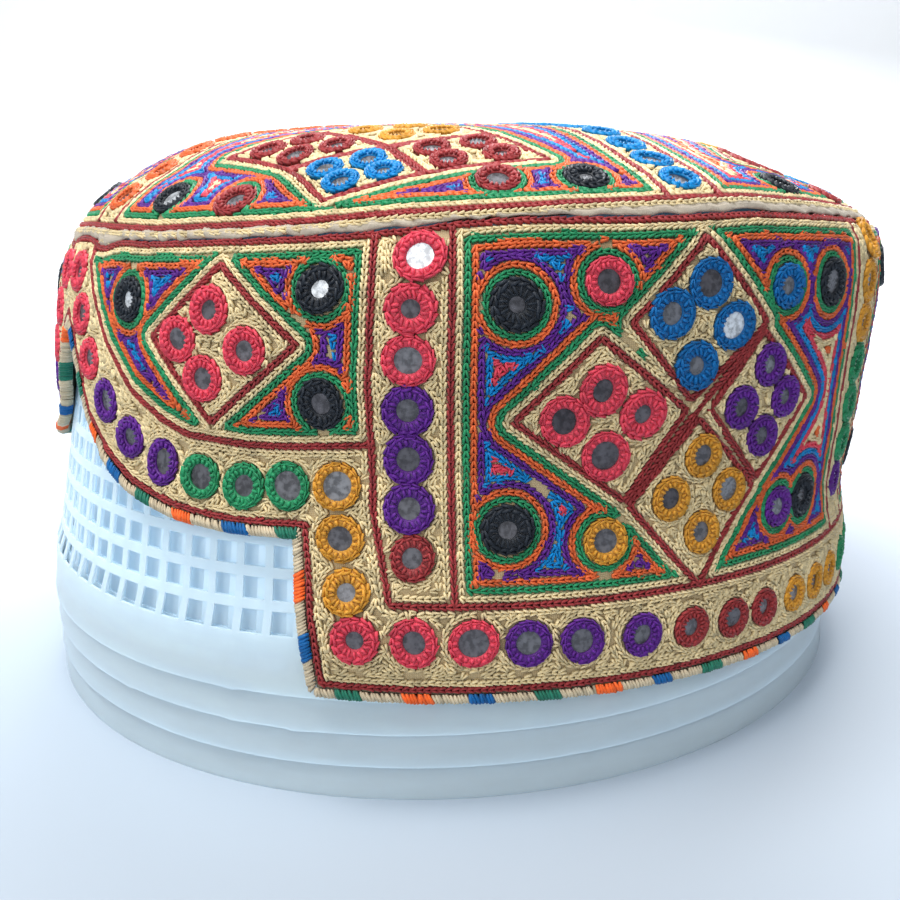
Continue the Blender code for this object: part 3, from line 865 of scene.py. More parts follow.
def wall_layout(row, ring_radius):
    """Red lines, rings and diamonds of the wall, all in unrolled millimetres."""
    def under_seam(azimuth):
        return seam_height(azimuth) - (GAP * 2 + PIPING_HEIGHT + row / 2 - 0.4) - pucker(azimuth)

    seam_turn = np.linspace(-180.0, 180.0, 145)
    lines = [unrolled(seam_turn, under_seam(seam_turn)),
             closed_path(offset_path(unrolled(*edge_path()), row * 0.72))]
    rings, diamonds = [], []
    share = np.array(COLUMN_SWAY[0])
    for middle, threads in COLUMNS:
        for side in (-1.0, 1.0):
            a = middle + side * COLUMN_HALF + column_sway(middle, side, share)
            top, foot = float(under_seam(a[-1])), float(hem_height(a[0])) + HEM_BORDER_RISE
            lines.append(unrolled(a, foot + (top - foot) * share))
        for k, (thread, shift) in enumerate(zip(threads.split(), COLUMN_RING_TURN)):
            z = float(seam_height(middle)) - COLUMN_RING_DROP - COLUMN_RING_PITCH * k
            x = float(unroll(middle + hand(middle) * shift))
            rings.append((x, z, ring_radius * (0.9 if k == 6 else 1.0), thread))
    start = COLUMNS[2][0] - COLUMN_HALF + COLUMN_SWAY[1][0]
    back = np.linspace(start, 360.0 - start, 61)
    lines.append(unrolled(back, hem_height(back) + HEM_BORDER_RISE))
    for sign in (-1.0, 1.0):
        points = np.array(PANEL_LINE)
        lines.append(unrolled(sign * points[:, 0], points[:, 1]))
        diamonds.append([(float(unroll(sign * a)), z) for a, z in FRONT_DIAMOND])
        rings += [(float(unroll(sign * a)), z, ring_radius * 0.95, thread)
                  for a, z, thread in FRONT_RINGS + ARCH_RINGS]
    for k in range(HEM_RING_COUNT):
        number = min(k, HEM_RING_COUNT - 1 - k)
        shift = HEM_RING_SHIFT[number] if number < len(HEM_RING_SHIFT) else 0.0
        a = HEM_RING_FIRST + (360.0 - 2 * HEM_RING_FIRST) * k / (HEM_RING_COUNT - 1)
        a = np.array([a + (shift if k == number else -shift)])
        x, z = unrolled(a, hem_height(a) + np.interp(number, *HEM_RING_RISE))[0]
        rings.append((x - (PERIOD if x > PERIOD / 2 else 0.0), z,
                      ring_radius * np.interp(number, *HEM_RING_SHARE),
                      HEM_GROUPS[number // 3 % len(HEM_GROUPS)]))
    for panel in SIDE_PANELS:
        middle, top, left, right, foot = panel
        for outline, (*spots, share), thread in zip(SMALL_DIAMONDS, DIAMOND_RINGS, panel[1:]):
            diamonds.append([panel_place(panel, a, z) for a, z in outline])
            rings += [(float(unroll(middle)) + hand(middle) * x, z + panel_drop(panel, z),
                       ring_radius * share, thread) for x, z in spots]
        lines.append(np.array([panel_place(panel, a, z) for a, z in DIAMOND_JOIN]))
        rings += [(*panel_place(panel, a, z), ring_radius * 0.94, thread)
                  for (a, z), thread in zip(CORNER_RINGS, (left, top, foot, right))]
        rings += [(*panel_place(panel, a, z), ring_radius * 1.03, "black") for a, z in BLACK_RINGS]
    lines += [np.array([*corners, corners[0]]) for corners in diamonds]
    return lines, rings, diamonds


def colour_zone(x, z, diamonds):
    """True where the wall has rows of many colours: over the inner line, off the columns and diamonds."""
    azimuth = roll_up(x)
    zone = z > inner_line(azimuth)
    share = (z - HEM_HEIGHT - HEM_BORDER_RISE) / (SEAM_HEIGHT - 3.0 - HEM_HEIGHT - HEM_BORDER_RISE)
    for middle, _ in COLUMNS:
        off = half_turn(azimuth - middle)
        zone &= ((off < column_sway(middle, -1.0, share) - COLUMN_HALF)
                 | (off > column_sway(middle, 1.0, share) + COLUMN_HALF))
    for corners in diamonds:
        zone &= ~inside_convex(x, z, corners)
    return zone


def cell_of(field, grid):
    """Line and column of the grid's cell that is nearest to each point."""
    column, line = grid
    rows, cols = field.shape
    return np.clip(np.round(line).astype(int), 0, rows - 1), np.round(column).astype(int) % cols


def row_sets(field, zone, place, frame_at, row, pitch, wrap, highest):
    """Chain rows at whole rows of the field, and at the half row where a core would stay bare. Yields the
    row's number of half rows, and its thread, middles, directions and normals."""
    for half in (FIRST_ROW, *range(2, 2 * highest)):
        crossings, following = level_crossings(field, half * row / 2, wrap)
        if len(crossings) < 3:
            continue
        middles, forward = stitches_on_loops(place(crossings), following, pitch)
        if len(middles) == 0:
            continue
        normals, grid = frame_at(middles)
        cell = cell_of(field, grid)
        if half % 2:
            first = half == FIRST_ROW
            side = unit(np.cross(normals, forward)) * ((0.35 if first else 0.55) * row)
            beside = (frame_at(spot)[1] for spot in (middles + side, middles - side))
            best = np.maximum(*(field[cell_of(field, grid)] for grid in beside))
            keep = best < (0.98 if first else math.ceil(half / 2) - 0.10) * row
            if not keep.any():
                continue
            middles, forward, normals = middles[keep], forward[keep], normals[keep]
            cell = cell[0][keep], cell[1][keep]
        coloured = zone[cell]
        thread = ROW_ORDER[min(math.ceil(half / 2), len(ROW_ORDER)) - 1]
        for mask, name in ((coloured, thread), (~coloured, "cream")):
            if mask.any():
                yield half, name, middles[mask], forward[mask], normals[mask]


def stitch_groups(lines, lay, frame_at, pitch, rows):
    """All stitches of one cloth: its rows, thinned, and its red lines, laid from flat places by lay."""
    groups = thin_crowded(list(rows), CROWDING)
    for line in lines:
        middles, forward = stitches_on_line(lay(even_line(line)), pitch)
        groups.append(("maroon", middles, forward, frame_at(middles)[0]))
    return groups


def bare(x, y, rings, wrap):
    """False for the places on the flat cloth that a ring hides."""
    hidden = np.zeros(len(x), bool)
    for centre_x, centre_y, radius, _ in rings:
        across = once_round(x - centre_x) if wrap else x - centre_x
        hidden |= np.hypot(across, y - centre_y) < radius - 0.25
    return ~hidden


def thin_crowded(groups, spacing):
    """Leaves out stitches that would lie on another. Whole rows go first, then the half rows between."""
    def of_each(value):
        return np.concatenate([np.full(len(g[2]), value(g)) for g in groups])

    middles = np.concatenate([g[2] for g in groups])
    rank = np.argsort(of_each(lambda g: g[0] + (100 if g[0] % 2 else 0)), kind="stable")
    close = of_each(lambda g: 1.0 if g[1] == "cream" else COLOUR_CROWDING)
    tree = KDTree(len(middles))
    for index, spot in enumerate(middles):
        tree.insert(spot, index)
    tree.balance()
    state = np.zeros(len(middles), np.int8)
    for index in rank:
        if state[index] == 0:
            for _, other, _ in tree.find_range(middles[index], spacing * close[index]):
                if state[other] == 0:
                    state[other] = 2
            state[index] = 1
    out, start = [], 0
    for _, thread, m, f, n in groups:
        keep = state[start:start + len(m)] == 1
        start += len(m)
        out.append((thread, m[keep], f[keep], n[keep]))
    return out


def thread_pieces(prefix, groups, sizes, colours, seed):
    """One piece for each thread colour, from groups of stitch middles, directions and normals."""
    template = chain_link(sizes.link_length / MM, sizes.row_width / MM)
    random = np.random.default_rng(seed)
    for thread in sorted({g[0] for g in groups}):
        middles, forward, normals = (np.concatenate(parts) for parts in zip(
            *(g[1:] for g in groups if g[0] == thread)))
        count = len(middles)
        side = unit(np.cross(normals, forward))
        middles = middles + side * random.normal(0.0, 0.05, (count, 1)) + normals * random.normal(
            -0.05, 0.05, (count, 1))
        forward = unit(forward + side * random.normal(0.0, 0.07, (count, 1)))
        scale = 1.0 + random.normal(0.0, 1.0, (count, 3)) * (0.05, 0.05, 0.10)
        points, faces = place_copies(template, middles, forward, normals, scale)
        shade = np.clip(random.normal(0.5, 0.22, count), 0.0, 1.0)
        material = floss_material(f"{thread} floss", getattr(colours, thread))
        make_piece(f"{prefix}_{thread}", points, faces, material,
                   np.repeat(shade, len(template[0])))


# Operators

class CAP_OT_stage(bpy.types.Operator):
    """Adds the pale floor, the soft lights and the camera at the photo's angle"""
    bl_idname = "cap.stage"
    bl_label = "Stage"

    def execute(self, context):
        size, far, bend = 3.0, 1.6, 0.5     # half width, wall behind and its round foot, in metres
        spin = Matrix.Rotation(math.radians(59.0), 3, "Z")
        turn = np.linspace(0.0, np.pi / 2, 12)
        run = np.concatenate([[-size], far - bend + bend * np.sin(turn), [far]])
        rise = np.concatenate([[0.0], bend - bend * np.cos(turn), [size]])
        points = [spin @ Vector((x, y, z)) for y, z in zip(run, rise) for x in (-size, size)]
        mesh = bpy.data.meshes.new("floor")
        mesh.from_pydata(points, [], grid_faces(len(run), 2, wrap=False).tolist())
        mesh.polygons.foreach_set("use_smooth", np.full(len(mesh.polygons), True))
        mesh.materials.append(floor_material())
        floor = bpy.data.objects.new("floor", mesh)
        context.collection.objects.link(floor)

        world = bpy.data.worlds.new("soft room")
        world.use_nodes = True
        sky = world.node_tree.nodes["Background"]
        sky.inputs["Color"].default_value = (0.93, 0.96, 1.0, 1.0)
        sky.inputs["Strength"].default_value = 0.58
        context.scene.world = world
        context.scene.view_settings.view_transform = "Standard"
        for name, place, width, power, tint in (
                ("overhead", (0.0, -0.25, 1.1), 0.6, 12.5, (1.0, 0.99, 0.97)),
                ("backdrop", (-0.80, 0.75, 1.0), 1.2, 24.0, (0.97, 0.98, 1.0)),
                ("front", (0.60, -0.85, 0.60), 0.5, 4.2, (1.0, 0.99, 0.97))):
            data = bpy.data.lights.new(name, "AREA")
            data.size = width
            data.energy = power
            data.color = tint
            lamp = bpy.data.objects.new(name, data)
            lamp.location = place
            aim = Vector((0.0, 0.0, 0.06)) - Vector(place)
            lamp.rotation_euler = aim.to_track_quat("-Z", "Y").to_euler()
            context.collection.objects.link(lamp)

        camera = bpy.data.objects.new("camera", bpy.data.cameras.new("camera"))
        camera.data.sensor_width = 36.0
        camera.data.lens = 40.0
        camera.data.clip_start = 0.01
        forward = spin @ Vector((0.01207533, 0.96726376, -0.25348572))
        right = spin @ Vector((0.99924691, -0.02102167, -0.03261431))
        up = spin @ Vector((0.03687533, 0.25290099, 0.96678917))
        place = spin @ Vector((0.0, -0.25248, 0.10529)) + Vector((0.0, STAND_Y * MM, 0.0))
        camera.matrix_world = Matrix((
            (right.x, up.x, -forward.x, place.x), (right.y, up.y, -forward.y, place.y),
            (right.z, up.z, -forward.z, place.z), (0.0, 0.0, 0.0, 1.0)))
        context.collection.objects.link(camera)
        context.scene.camera = camera
        return {"FINISHED"}


class CAP_OT_ground_cloth(bpy.types.Operator):
    """Makes the cotton cloth of the wall and the crown, which shows between the stitches and inside"""
    bl_idname = "cap.ground_cloth"
    bl_label = "Ground cloth"

    def execute(self, context):
        # The cotton is a darker cream than the cream thread: partly its own colour, partly painted shade for
        # the gaps between the stitches.
        material = cloth_material("cotton ground", (0.68, 0.54, 0.30), (0.46, 0.34, 0.18), 900.0)
        azimuth, low = edge_path()
        turn, foot = (np.concatenate([np.linspace(a, b, 3)[:-1] for a, b in zip(path[:-1], path[1:])])
                      for path in (np.append(azimuth, azimuth[0] + 360.0), np.append(low, low[0])))
        top = seam_height(turn) - PIPING_HEIGHT - 2 * GAP
        height = foot + (top - foot) * np.linspace(0.0, 1.0, 15)[:, None]
        shell = np.concatenate([wall_point(turn, height, -SINK), wall_point(turn, height[::-1], -CLOTH)])
        both = np.concatenate([height, height[::-1]])
        flat = np.stack([np.broadcast_to(unroll(turn - 360.0 * (turn > 180)), both.shape), both], -1) * MM
        wall = make_piece("wall_cloth", shell.reshape(-1, 3), grid_faces(*both.shape, close=True), material,
                          uv=flat.reshape(-1, 2))
        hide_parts("side_band")

        reach = np.linspace(0.0, CROWN_EDGE, 24)[1:, None]
        spin = np.radians(np.linspace(-180.0, 180.0, 97)[:-1])
        a, b = reach * np.sin(spin), -reach * np.cos(spin)
        point, normal = crown_frame(a, b)
        middle = crown_point(np.zeros(1), np.zeros(1))
        shell = np.concatenate([point - normal * SINK, (point - normal * (CLOTH * 0.97))[::-1]])
        points = np.concatenate([middle - (0, 0, SINK), shell.reshape(-1, 3), middle - (0, 0, CLOTH)])
        rows, cols = 2 * len(reach), len(spin)
        around = 1 + np.arange(cols)
        after = 1 + np.arange(1, cols + 1) % cols
        far = (rows - 1) * cols
        tris = np.concatenate([
            triangles(grid_faces(rows, cols) + 1), np.stack([np.zeros(cols, int), after, around], -1),
            np.stack([far + around, far + after, np.full(cols, len(points) - 1)], -1)])[:, ::-1]
        flat = np.stack([a, b], -1)
        flat = np.concatenate([flat, flat[::-1]]).reshape(-1, 2)
        flat = np.concatenate([np.zeros((1, 2)), flat, np.zeros((1, 2))])
        crown = make_piece("crown_cloth", points, tris, material, uv=flat * MM)
        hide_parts("crown")
        return {"FINISHED"}


class CAP_OT_wall_stitches(bpy.types.Operator):
    """Covers the wall with chain-stitched rows that follow its lines, diamonds and rings"""
    bl_idname = "cap.wall_stitches"
    bl_label = "Wall stitches"

    def execute(self, context):
        sizes, colours = context.scene.cap_sizes, context.scene.cap_threads
        row, pitch = sizes.row_width / MM, sizes.link_length / MM
        lines, rings, diamonds = wall_layout(row, sizes.ring_radius / MM)
        cols = int(round(PERIOD / GRID_STEP))
        low_x, low_z, step_x = -PERIOD / 2, WALL_SPAN[0], PERIOD / cols
        x, z = np.meshgrid(low_x + PERIOD * np.arange(cols) / cols, np.arange(*WALL_SPAN, GRID_STEP))
        zone = colour_zone(x, z, diamonds)
        field = stitch_field(x, z, lines, rings, zone, row, PERIOD)
        field[below_edge(x, z) | (z > seam_height(roll_up(x)) - 2 * GAP - PIPING_HEIGHT)] = -1.0
        field[0] = field[-1] = -1.0

        def place(crossings):
            return wall_point(roll_up(low_x + crossings[:, 0] * step_x), low_z + crossings[:, 1] * GRID_STEP)

        def lay(flat):
            return wall_point(roll_up(once_round(flat[:, 0])), flat[:, 1])

        def frame_at(points):
            turn = np.degrees(np.arctan2(points[:, 0], -(points[:, 1] - STAND_Y)))
            grid = (unroll(turn) - low_x) / step_x, (points[:, 2] - low_z) / GRID_STEP
            return wall_frame(turn, points[:, 2])[1], grid

        rows = row_sets(field, zone, place, frame_at, row, pitch, True, WALL_ROWS)
        shown = []
        for thread, *stitches in stitch_groups(lines, lay, frame_at, pitch, rows):
            column, line = frame_at(stitches[0])[1]
            keep = bare(low_x + column * step_x, low_z + line * GRID_STEP, rings, True)
            shown.append((thread, *(values[keep] for values in stitches)))
        thread_pieces("wall_rows", shown, sizes, colours, 11)
        return {"FINISHED"}


def below_edge(x, z):
    """True below the wall's cut edge."""
    azimuth = roll_up(x)
    half = ARCH_WIDTH / 2
    step = half + STEP_LEAN * (ARCH_SHOULDER - z) / (ARCH_SHOULDER - HEM_HEIGHT - HEM_TILT)
    in_arch = np.abs(azimuth) < np.where(z < ARCH_SHOULDER, step, half)
    return np.where(in_arch, z < arch_height(azimuth), z < hem_height(azimuth))


def circle(radius, turn):
    """Places on a circle round the middle of the flat crown."""
    return np.stack([radius * np.sin(turn), -radius * np.cos(turn)], -1)


def crown_layout(ring_radius):
    """Red lines, rings and diamonds of the crown on the flattened cloth."""
    edge = CROWN_EDGE - CROWN_LINE_INSET
    turn = np.radians(np.linspace(0.0, 360.0, 97))
    lines = [circle(edge + front_drop(np.degrees(turn)), turn), circle(CENTRE_RADIUS, turn[::4])]
    rings, diamonds = [], []
    for azimuth, thread in zip(CROWN_BANDS, BAND_THREADS):
        outward, along = circle(1.0, math.radians(azimuth)), -circle(1.0, math.radians(azimuth - 90.0))
        for side in (-CROWN_BAND_HALF, CROWN_BAND_HALF):
            ends = [math.sqrt(reach ** 2 - side ** 2) for reach in (CENTRE_RADIUS, edge)]
            lines.append(np.array([outward * end + along * side for end in ends]))
        for k in range(int((edge - 4.0 - CENTRE_RADIUS) / CROWN_RING_PITCH)):
            rings.append((*(outward * (edge - 6.2 - CROWN_RING_PITCH * k)), ring_radius * 0.96, thread))
    for azimuth in QUARTERS:
        outward, along = circle(1.0, math.radians(azimuth)), -circle(1.0, math.radians(azimuth - 90.0))
        grid = {k: along * x + outward * y for k, (x, y) in DIAMOND_GRID.items()}
        for *names, thread in CROWN_DIAMONDS:
            corners = np.array([grid[name] for name in names])
            middle = corners.mean(0)
            corners = middle + (corners - middle) * 0.955
            diamonds.append(corners)
            lines.append(np.concatenate([corners, corners[:1]]))
            rings += [(*(middle + (corner - middle) * 0.44), ring_radius * 0.86, thread)
                      for corner in corners]
        rings += [(*(along * x + outward * y), ring_radius, thread) for x, y, thread in QUARTER_RINGS]
    rings.append((0.0, 0.0, ring_radius, "pink"))
    rings += [(*circle(10.2, math.radians(60.0 * k + 20.0)), ring_radius, "gold") for k in range(6)]
    return lines, rings, diamonds


class CAP_OT_crown_stitches(bpy.types.Operator):
    """Covers the crown with chain-stitched rows round its bands, diamonds and rings"""
    bl_idname = "cap.crown_stitches"
    bl_label = "Crown stitches"

    def execute(self, context):
        sizes, colours = context.scene.cap_sizes, context.scene.cap_threads
        row, pitch = sizes.row_width / MM, sizes.link_length / MM * 1.04
        lines, rings, diamonds = crown_layout(sizes.ring_radius / MM * CROWN_RING_SHARE)
        side = np.arange(-CROWN_EDGE - 1.0, CROWN_EDGE + 1.0, GRID_STEP)
        x, y = np.meshgrid(side, side)
        reach, turn = np.hypot(x, y), np.degrees(np.arctan2(x, -y))
        zone = reach > CENTRE_RADIUS
        for azimuth in CROWN_BANDS:
            off = np.radians(turn - azimuth)
            zone &= ~((np.abs(reach * np.sin(off)) < CROWN_BAND_HALF) & (np.cos(off) > 0))
        for corners in diamonds:
            zone &= ~inside_convex(x, y, corners)
        field = stitch_field(x, y, lines, rings, zone, row)
        field[reach > CROWN_EDGE - CROWN_LINE_INSET + front_drop(turn)] = -1.0
        field[0] = field[-1] = field[:, 0] = field[:, -1] = -1.0

        def lay(flat):
            return np.concatenate([flat, np.zeros((len(flat), 1))], 1)

        def place(crossings):
            return lay(side[0] + crossings * GRID_STEP)

        def frame_at(points):
            return np.tile((0.0, 0.0, 1.0), (len(points), 1)), ((points[:, :2] - side[0]) / GRID_STEP).T

        rows = row_sets(field, zone, place, frame_at, row, pitch, False, CROWN_ROWS)
        raised = []
        for thread, middles, forward, _ in stitch_groups(lines, lay, frame_at, pitch, rows):
            keep = bare(middles[:, 0], middles[:, 1], rings, False)
            flat, heading = middles[keep, :2], forward[keep, :2]
            spot, normal = crown_frame(*flat.T)
            ahead, behind = crown_point(*(flat + heading * 0.4).T), crown_point(*(flat - heading * 0.4).T)
            raised.append((thread, spot, unit(ahead - behind), normal))
        thread_pieces("crown_rows", raised, sizes, colours, 23)
        return {"FINISHED"}


def crochet_rings(prefix, places, normals, ups, rings, colours, seed):
    """Crocheted rings with a mirror in each: a padded round, a round of chain links and one of posts on it,
    and a flat glass under the opening. Each ring has its own opening and a slightly uneven outline."""
    random = np.random.default_rng(seed)
    count = len(rings)
    outer, threads = np.array([r[2] for r in rings]), np.array([r[3] for r in rings])
    opening = outer * np.clip(random.normal(0.47, 0.07, count), 0.32, 0.6)
    opening[threads == "black"] *= 0.85
    right = unit(np.cross(ups, normals))
    up = unit(np.cross(normals, right))
    phase = random.uniform(0.0, 2 * np.pi, count)
    stretch = random.normal(0.0, 0.035, count)

    def spoke(which, angle, share):
        """Place, radius and direction at an angle round a ring, from its opening to its outline by share."""
        radius = opening[which] + (outer[which] - opening[which]) * share
        radius = radius * (1.0 + stretch[which] * np.cos(2 * (angle - phase[which])))
        radial = right[which] * np.cos(angle)[:, None] + up[which] * np.sin(angle)[:, None]
        return places[which] + radial * radius[:, None], radius, radial

    turn = 2 * np.pi * np.arange(RING_SIDES) / RING_SIDES
    body = grid_faces(len(RING_PROFILE), RING_SIDES, close=True)[:, ::-1]
    size = len(RING_PROFILE) * RING_SIDES
    link = chain_link(1.0, 1.0)
    post = strand(((-0.50, 0, -0.12), (-0.24, 0.03, 0.12), (0.24, -0.03, 0.06), (0.58, 0.0, -0.34)),
                  (0.50, 0.48), (0.42, 0.40), 3)
    for thread in sorted(set(threads)):
        index = np.flatnonzero(threads == thread)
        which, angle = np.repeat(index, RING_SIDES), np.tile(turn, len(index))
        rows = [(spoke(which, angle, share)[0] + normals[which] * lift).reshape(len(index), RING_SIDES, 3)
                for share, lift in RING_PROFILE]
        parts, tris = [np.stack(rows, 1).reshape(-1, 3)], [triangles(repeated(body, len(index), size))]
        # The padded round gets a low shade, so it is painted darker than its links: painted shade in the
        # pits between them.
        shade = [np.repeat(np.clip(random.normal(0.12, 0.04, len(index)), 0, 1), size)]
        for template, number, share in ((link, 15, 0.79), (post, 16, 0.34)):
            which = np.repeat(index, number)
            angle = np.tile(2 * np.pi * np.arange(number) / number, len(index)) + phase[which]
            angle = angle + random.normal(0.0, 0.04, len(angle))
            middle, radius, radial = spoke(which, angle, share)
            ahead = -right[which] * np.sin(angle)[:, None] + up[which] * np.cos(angle)[:, None]
            wide, arc, out = outer[which] - opening[which], 2 * np.pi * radius / number, normals[which]
            if template is link:
                middle, out, forward = middle + out * 0.40, unit(out + radial * 0.35), ahead
                scale = np.stack([arc, wide * 0.52, np.full(len(which), 1.05)], -1)
            else:
                forward = unit(radial + ahead * random.normal(0.25, 0.15, (len(which), 1)))
                middle, out = middle + out * 0.34, unit(out - radial * 0.25)
                scale = np.stack([wide * 0.66, arc * 0.96, np.full(len(which), 0.95)], -1)
            scale = scale * (1.0 + random.normal(0.0, 0.07, scale.shape))
            points, faces = place_copies(template, middle, forward, out, scale)
            tris.append(faces + sum(map(len, parts)))
            parts.append(points)
            shade.append(np.repeat(np.clip(random.normal(0.55, 0.2, len(which)), 0, 1), len(template[0])))
        material = floss_material(f"{thread} floss", getattr(colours, thread))
        make_piece(f"{prefix}_rings_{thread}", np.concatenate(parts), np.concatenate(tris), material,
                   np.concatenate(shade))

    turn = 2 * np.pi * np.arange(GLASS_SIDES) / GLASS_SIDES
    reach = (opening + 0.10)[:, None]
    edge = places[:, None] + (right[:, None] * np.cos(turn)[:, None]
                              + up[:, None] * np.sin(turn)[:, None]) * reach[..., None]
    tilt = random.normal(0.0, 0.05, (count, 2))
    slope = (np.cos(turn) * tilt[:, :1] + np.sin(turn) * tilt[:, 1:]) * reach
    solid = np.concatenate([edge + normals[:, None] * (slope[..., None] - 0.12),
                            edge - normals[:, None] * 0.40], 1)
    second = np.arange(1, GLASS_SIDES - 1)
    fan = np.stack([0 * second, second, second + 1], -1)
    one = np.concatenate([fan, fan[:, ::-1] + GLASS_SIDES, triangles(grid_faces(2, GLASS_SIDES)[:, ::-1])])
    # Each mirror's shade: a random tone of its silvering, plus painted glints, near white, on a few random
    # mirrors and on the listed wall mirrors: a painted reflection of the light.
    tone_and_painted_glint = np.clip(random.normal(0.5, 0.16, count), 0.0, 0.85)
    tone_and_painted_glint[random.uniform(0, 1, count) < 0.03] = 0.92
    for a, z in PAINTED_GLINT_MIRRORS if prefix == "wall" else ():
        tone_and_painted_glint[np.argmin([math.hypot(r[0] - unroll(a), r[1] - z) for r in rings])] = 0.97
    make_piece(f"{prefix}_mirrors", solid.reshape(-1, 3), repeated(one, count, 2 * GLASS_SIDES),
               mirror_material(), np.repeat(tone_and_painted_glint, 2 * GLASS_SIDES), smooth=False)


class CAP_OT_mirror_rings(bpy.types.Operator):
    """Sews the crocheted rings and their mirrors on the wall and the crown"""
    bl_idname = "cap.mirror_rings"
    bl_label = "Mirror rings"

    def execute(self, context):
        sizes, colours = context.scene.cap_sizes, context.scene.cap_threads
        row, radius = sizes.row_width / MM, sizes.ring_radius / MM
        rings = wall_layout(row, radius)[1]
        azimuth, height = roll_up(np.array([r[0] for r in rings])), np.array([r[1] for r in rings])
        up = unit(wall_point(azimuth, height + 1.0) - wall_point(azimuth, height - 1.0))
        crochet_rings("wall", *wall_frame(azimuth, height), up, rings, colours, 31)
        rings = crown_layout(radius * CROWN_RING_SHARE)[1]
        a, b = np.array([r[:2] for r in rings]).T
        up = unit(crown_point(a, b + 0.8) - crown_point(a, b - 0.8))
        crochet_rings("crown", *crown_frame(a, b), up, rings, colours, 37)
        return {"FINISHED"}


class CAP_OT_piping(bpy.types.Operator):
    """Makes the gathered off-white piping in the seam and the cream row that runs above it"""
    bl_idname = "cap.piping"
    bl_label = "Piping"

    def execute(self, context):
        random = np.random.default_rng(41)
        azimuth = np.linspace(-180.0, 180.0, PIPING_COLS + 1)[:-1]
        turn = np.radians(azimuth)
        drift = sum(a * np.sin(n * turn + p) for a, n, p in
                    zip((1.1, 0.9, 0.6), (17, 29, 43), random.uniform(0, 6.28, 3)))
        across = np.linspace(0.0, 2 * np.pi, 11)[:-1, None]
        fold = np.sin(150 * turn + 2.0 * drift + 1.6 * np.sin(across))
        fine = np.sin(241 * turn - 2.6 * drift + 2.2 * np.sin(across))
        sag = pucker(azimuth)
        middle = seam_height(azimuth) - GAP - PIPING_HEIGHT / 2 + 0.16 * np.sin(61 * turn + drift) - sag / 2
        tall = (PIPING_HEIGHT / 2 + 0.02) * (1.0 + 0.12 * np.sin(97 * turn + drift)) + sag / 2
        height = middle + tall * np.sin(across)
        bulge = np.where(np.cos(across) > 0, 0.62, 1.2) * np.cos(across)
        out = -0.30 + bulge + np.cos(across).clip(0) ** 0.5 * (0.34 * fold + 0.20 * fine)
        points = wall_point(azimuth, height, out)
        flat = np.stack(np.broadcast_arrays(unroll(azimuth), across * 0.5), -1) * MM
        colour = tuple(context.scene.cap_stand.piping)
        material = cloth_material("piping cotton", colour, (0.42, 0.36, 0.28), 1400.0)
        piece = make_piece("seam_piping", points.reshape(-1, 3), grid_faces(*height.shape, close=True),
                           material, uv=flat.reshape(-1, 2))
        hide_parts("crown_piping")

        sizes = context.scene.cap_sizes
        azimuth = np.linspace(-180.0, 180.0, 1441)
        line = wall_point(azimuth, seam_height(azimuth) - 0.22 - 0.9 * front_drop(azimuth), 0.30)
        middles, forward = stitches_on_line(line, sizes.link_length / MM)
        turned = np.degrees(np.arctan2(middles[:, 0], STAND_Y - middles[:, 1]))
        row = ("cream", middles, forward, wall_frame(turned, middles[:, 2])[1])
        thread_pieces("seam_rows", [row], sizes, context.scene.cap_threads, 43)
        return {"FINISHED"}


